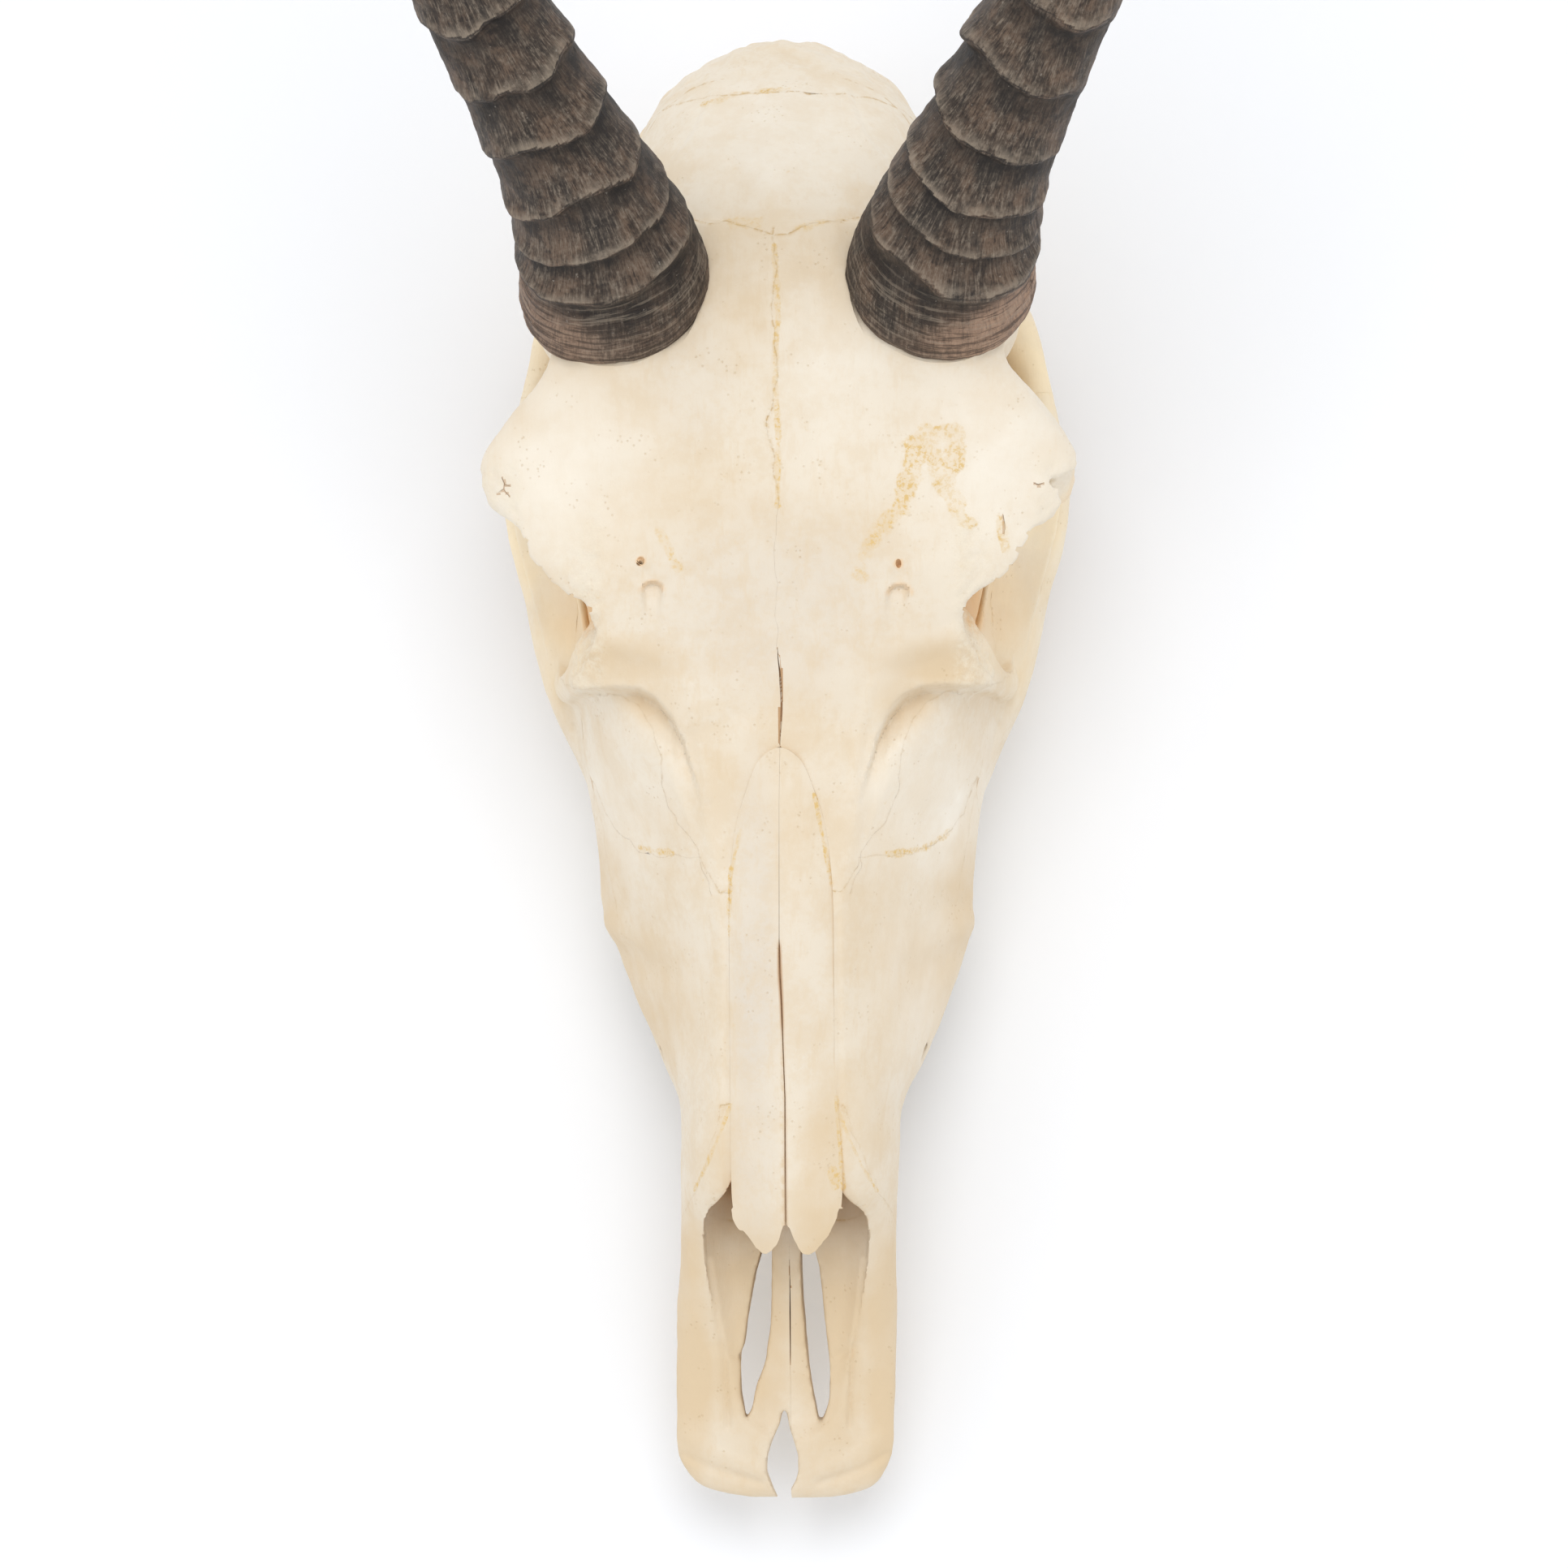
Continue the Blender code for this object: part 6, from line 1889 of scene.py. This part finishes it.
class SKULL_OT_nasals(bpy.types.Operator):
    """Lay the two nasal bones in their bed, with the slit between them"""

    bl_idname = "skull.nasals"
    bl_label = "Nasal bones"

    def execute(self, context):
        material = shared_bone_material(context.scene.skull_bone)
        for word, side in SIDES.items():
            plate = nasal_bone(word, side)
            points = points_of(plate.data)
            seam = 0.8 * soft_step(0.9, 0.4, np.abs(points[:, 0])) * soft_step(104, 92, points[:, 1])
            points[:, 2] += uneven(points, UNEVEN_NASAL)
            set_points(plate.data, points)
            set_value(plate.data, "seam", seam)
            paint(plate.data)
            # Painted shade: the undersides of the nasal bones, where they face down over the nose, get the
            # tan colour.
            set_value(plate.data, "hollow", 0.6 * soft_step(-0.3, -0.8, normals_of(plate.data)[:, 2]))
            slit = np.abs(points[:, 0] - midline_at(points[:, 1]))
            open_here = soft_step(0.15, 0.35, read_off(NASAL_GAP, points[:, 1]))
            deep_brown = 0.35 + 0.45 * soft_step(98, 103, points[:, 1])
            set_value(plate.data, "inside", soft_step(0.36, 0.3, slit) * open_here * deep_brown)
            plate.data.shade_smooth()
            plate.data.set_sharp_from_angle(angle=NASAL_SHARP)
            placed(plate, f"nasal_{word}_bone", material, f"nasal_{word}")
        return {"FINISHED"}


class SKULL_OT_teeth(bpy.types.Operator):
    """Set the rows of upper cheek teeth on both sides"""

    bl_idname = "skull.teeth"
    bl_label = "Cheek teeth"

    def execute(self, context):
        material = tooth_material(bpy.data.node_groups.get("bone grain") or grain_group())
        for word, side in SIDES.items():
            row, start, down = tooth_row(side)
            row = remeshed(row, TOOTH_VOXEL * MM, TOOTH_SOFTENING)
            points = points_of(row.data)
            normals = normals_of(row.data)
            depth = (points - np.array(start)) @ np.array(down)
            facing = normals @ np.array(down)
            spans = (CROWN - 0.5, CROWN - 1.1, depth), (-0.1, 0.3, facing), (CROWN - 4, CROWN - 3, depth)
            set_value(row.data, "pit", within(*spans))
            set_value(row.data, "neck", soft_step(CROWN - 1, 2.0, depth))
            points += normals * uneven(points, UNEVEN_TOOTH)[:, None]
            flat = (REST.to_3x3() @ Vector((0, 0, 1))).z
            level = np.array(REST.to_3x3().row[2]) @ points.T + REST_ORIGIN[2]
            points[:, 2] += np.maximum(0.0, 0.05 - level) / flat
            set_points(row.data, points)
            row.data.shade_smooth()
            placed(row, f"teeth_{word}", material, f"maxilla_{word}")
        return {"FINISHED"}


class SKULL_OT_horns(bpy.types.Operator):
    """Grow both horns along their axes with geometry nodes"""

    bl_idname = "skull.horns"
    bl_label = "Horns"

    def execute(self, context):
        look = context.scene.skull_horn
        material = horn_material(look)
        tree = horn_tree(material)
        sockets = {item.name: item.identifier for item in tree.interface.items_tree if item.in_out == "INPUT"}
        for number, (word, side) in enumerate(SIDES.items()):
            lengths, points = horn_axis(word)
            points = [REST @ (Vector((side * x, y, z)) * MM) for x, y, z in points]
            mesh = bpy.data.meshes.new("axis")
            mesh.from_pydata(points, [(i, i + 1) for i in range(len(points) - 1)], [])
            closing = ((lengths - HORN_TIP) / HORN_TIP_ROUND).clip(0)
            reach = read_off(HORN_RADIUS, lengths) * np.sqrt(np.clip(1 - closing ** 2, 0.01, 1))
            set_value(mesh, "reach", reach * MM)
            set_value(mesh, "along", lengths * MM)
            set_value(mesh, "rings", ring_count(word, lengths))
            set_value(mesh, "seat", np.clip(1 - lengths / HORN_BASE_BLEND, 0, 1))
            set_value(mesh, "rim", soft_step(22, 8, lengths))
            set_value(mesh, "inner", RING_INNER[word] * soft_step(15, 70, lengths))
            set_value(mesh, "lift", soft_step(5, 18, lengths) * soft_step(330, 215, lengths))
            set_value(mesh, "ruddy", np.full(len(lengths), HORN_RUDDY[word]))
            axis = mesh_object("axis", mesh, hidden=True)
            grow = axis.modifiers.new("Horn", "NODES")
            grow.node_group = tree
            ways = (horn_base(word)[1], (0, -0.6, 0.8), (1, 0, 0))
            facing, front, outer = (REST.to_3x3() @ Vector(way) for way in ways)
            values = {
                "Rows": look.rows, "Sides": look.sides, "Ring Height": look.ring_height,
                "Fibre Depth": look.fibre_depth, "Ring Slant": 0.08 if word == "left" else 0.0,
                "Base Facing": (side * facing.x, facing.y, facing.z), "Front": tuple(front),
                "Outer": (side * outer.x, outer.y, outer.z), "Base Corner": HORN_CORNER[word],
                "Base Drop": HORN_BASE_DROP * MM, "Seed": 7.3 * number,
            }
            for name, value in values.items():
                grow[sockets[name]] = value
            horn = baked(axis, f"horn_{word}_sheath")
            horn.hide_render = False
            bm = bmesh.new()
            bm.from_mesh(horn.data)
            bmesh.ops.recalc_face_normals(bm, faces=bm.faces)
            bm.to_mesh(horn.data)
            bm.free()
            horn.data.materials.clear()
            horn.data.materials.append(material)
            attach(horn, "root")
            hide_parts(f"horn_{word}")
        return {"FINISHED"}


def studio_floor(look):
    """A wide pale floor with faint smudges."""
    mesh = bpy.data.meshes.new("floor")
    mesh.from_pydata([(-4, -4, 0), (4, -4, 0), (4, 4, 0), (-4, 4, 0)], [], [(0, 1, 2, 3)])
    material, wires, shader = new_material("floor", 0.8)
    place = wires.add("ShaderNodeTexCoord", out=3)
    smudges = wires.between(wires.noise(place, 2.0), 0.3, 0.7, 0.0, 0.04)
    wires.feed(shader.inputs["Base Color"], wires.mix(smudges, colour(look.floor), SMUDGE))
    mesh.materials.append(material)
    return mesh_object("floor", mesh)


def point_camera(scene, look):
    """Places the camera as the picture was taken: the point that it looks at, then its right, up and back."""
    turn = REST.to_3x3()
    centre_x = (PICTURE / 2 - MIDLINE_PIXEL - MIDLINE_SLOPE * (PICTURE / 2 - MIDLINE_ROW)) / PIXELS_PER_MM
    target = REST @ (Vector((centre_x, PICTURE_CENTRE_Y, 0.0)) * MM)
    back = (turn @ Vector((math.sin(look.yaw), 0, math.cos(look.yaw)))).normalized()
    right = (turn @ Vector((0, 1, 0))).cross(back).normalized()
    up = back.cross(right)
    view = Matrix((right, up, back)).transposed() @ Matrix.Rotation(-look.roll, 3, "Z")
    camera = bpy.data.objects.new("camera", bpy.data.cameras.new("camera"))
    scene.collection.objects.link(camera)
    camera.matrix_world = Matrix.Translation(target + back * look.distance) @ view.to_4x4()
    camera.data.sensor_width = SENSOR
    camera.data.lens = SENSOR * look.distance / (PICTURE / PIXELS_PER_MM * MM)
    scene.camera = camera
    return target, right, up, back


def soft_light(name, place, target, size, power):
    """A round area light at a place, turned to a target."""
    lamp = bpy.data.lights.new(name, "AREA")
    lamp.shape = "DISK"
    lamp.size = size
    lamp.energy = power
    light = bpy.data.objects.new(name, lamp)
    bpy.context.scene.collection.objects.link(light)
    aim = (place - target).to_track_quat("Z", "Y").to_matrix().to_4x4()
    light.matrix_world = Matrix.Translation(place) @ aim


class SKULL_OT_stage(bpy.types.Operator):
    """Lay the pale floor, light it softly and point the camera as the picture was taken"""

    bl_idname = "skull.stage"
    bl_label = "Floor, lights and camera"

    def execute(self, context):
        look = context.scene.skull_studio
        scene = context.scene
        scene.view_settings.view_transform = "Standard"
        floor = studio_floor(look)
        target, right, up, back = point_camera(scene, look)
        world = bpy.data.worlds.new("studio")
        scene.world = world
        world.use_nodes = True
        sky = world.node_tree.nodes["Background"]
        sky.inputs["Color"].default_value = (1.0, 1.0, 1.0, 1.0)
        sky.inputs["Strength"].default_value = look.fill
        soft_light("key", target + back * 1.7 + up * 0.75, target, 1.1, look.key)
        soft_light("side", target + back * 1.5 - right * 1.4 + up * 0.2, target, 1.4, look.key * 0.2)
        return {"FINISHED"}


STEPS = (SKULL_OT_bones, SKULL_OT_nasals, SKULL_OT_teeth, SKULL_OT_horns, SKULL_OT_stage)
SETTINGS = {"skull_bone": BoneSettings, "skull_horn": HornSettings, "skull_studio": StudioSettings}


class SKULL_PT_panel(bpy.types.Panel):
    """Sizes, colours and steps of the skull"""

    bl_label = "Blesbok skull"
    bl_idname = "SKULL_PT_panel"
    bl_space_type = "VIEW_3D"
    bl_region_type = "UI"
    bl_category = "Skull"

    def draw(self, context):
        for step in STEPS:
            self.layout.operator(step.bl_idname)
        for name, kind in SETTINGS.items():
            box = self.layout.box()
            for field in kind.__annotations__:
                box.prop(getattr(context.scene, name), field)


def register():
    for kind in (*SETTINGS.values(), *STEPS, SKULL_PT_panel):
        bpy.utils.register_class(kind)
    for name, kind in SETTINGS.items():
        setattr(bpy.types.Scene, name, bpy.props.PointerProperty(type=kind))


def unregister():
    for name in SETTINGS:
        delattr(bpy.types.Scene, name)
    for kind in reversed((*SETTINGS.values(), *STEPS, SKULL_PT_panel)):
        bpy.utils.unregister_class(kind)


def main():
    register()
    bpy.ops.skull.bones()
    bpy.ops.skull.nasals()
    bpy.ops.skull.teeth()
    bpy.ops.skull.horns()
    bpy.ops.skull.stage()


if __name__ == "__main__":
    main()
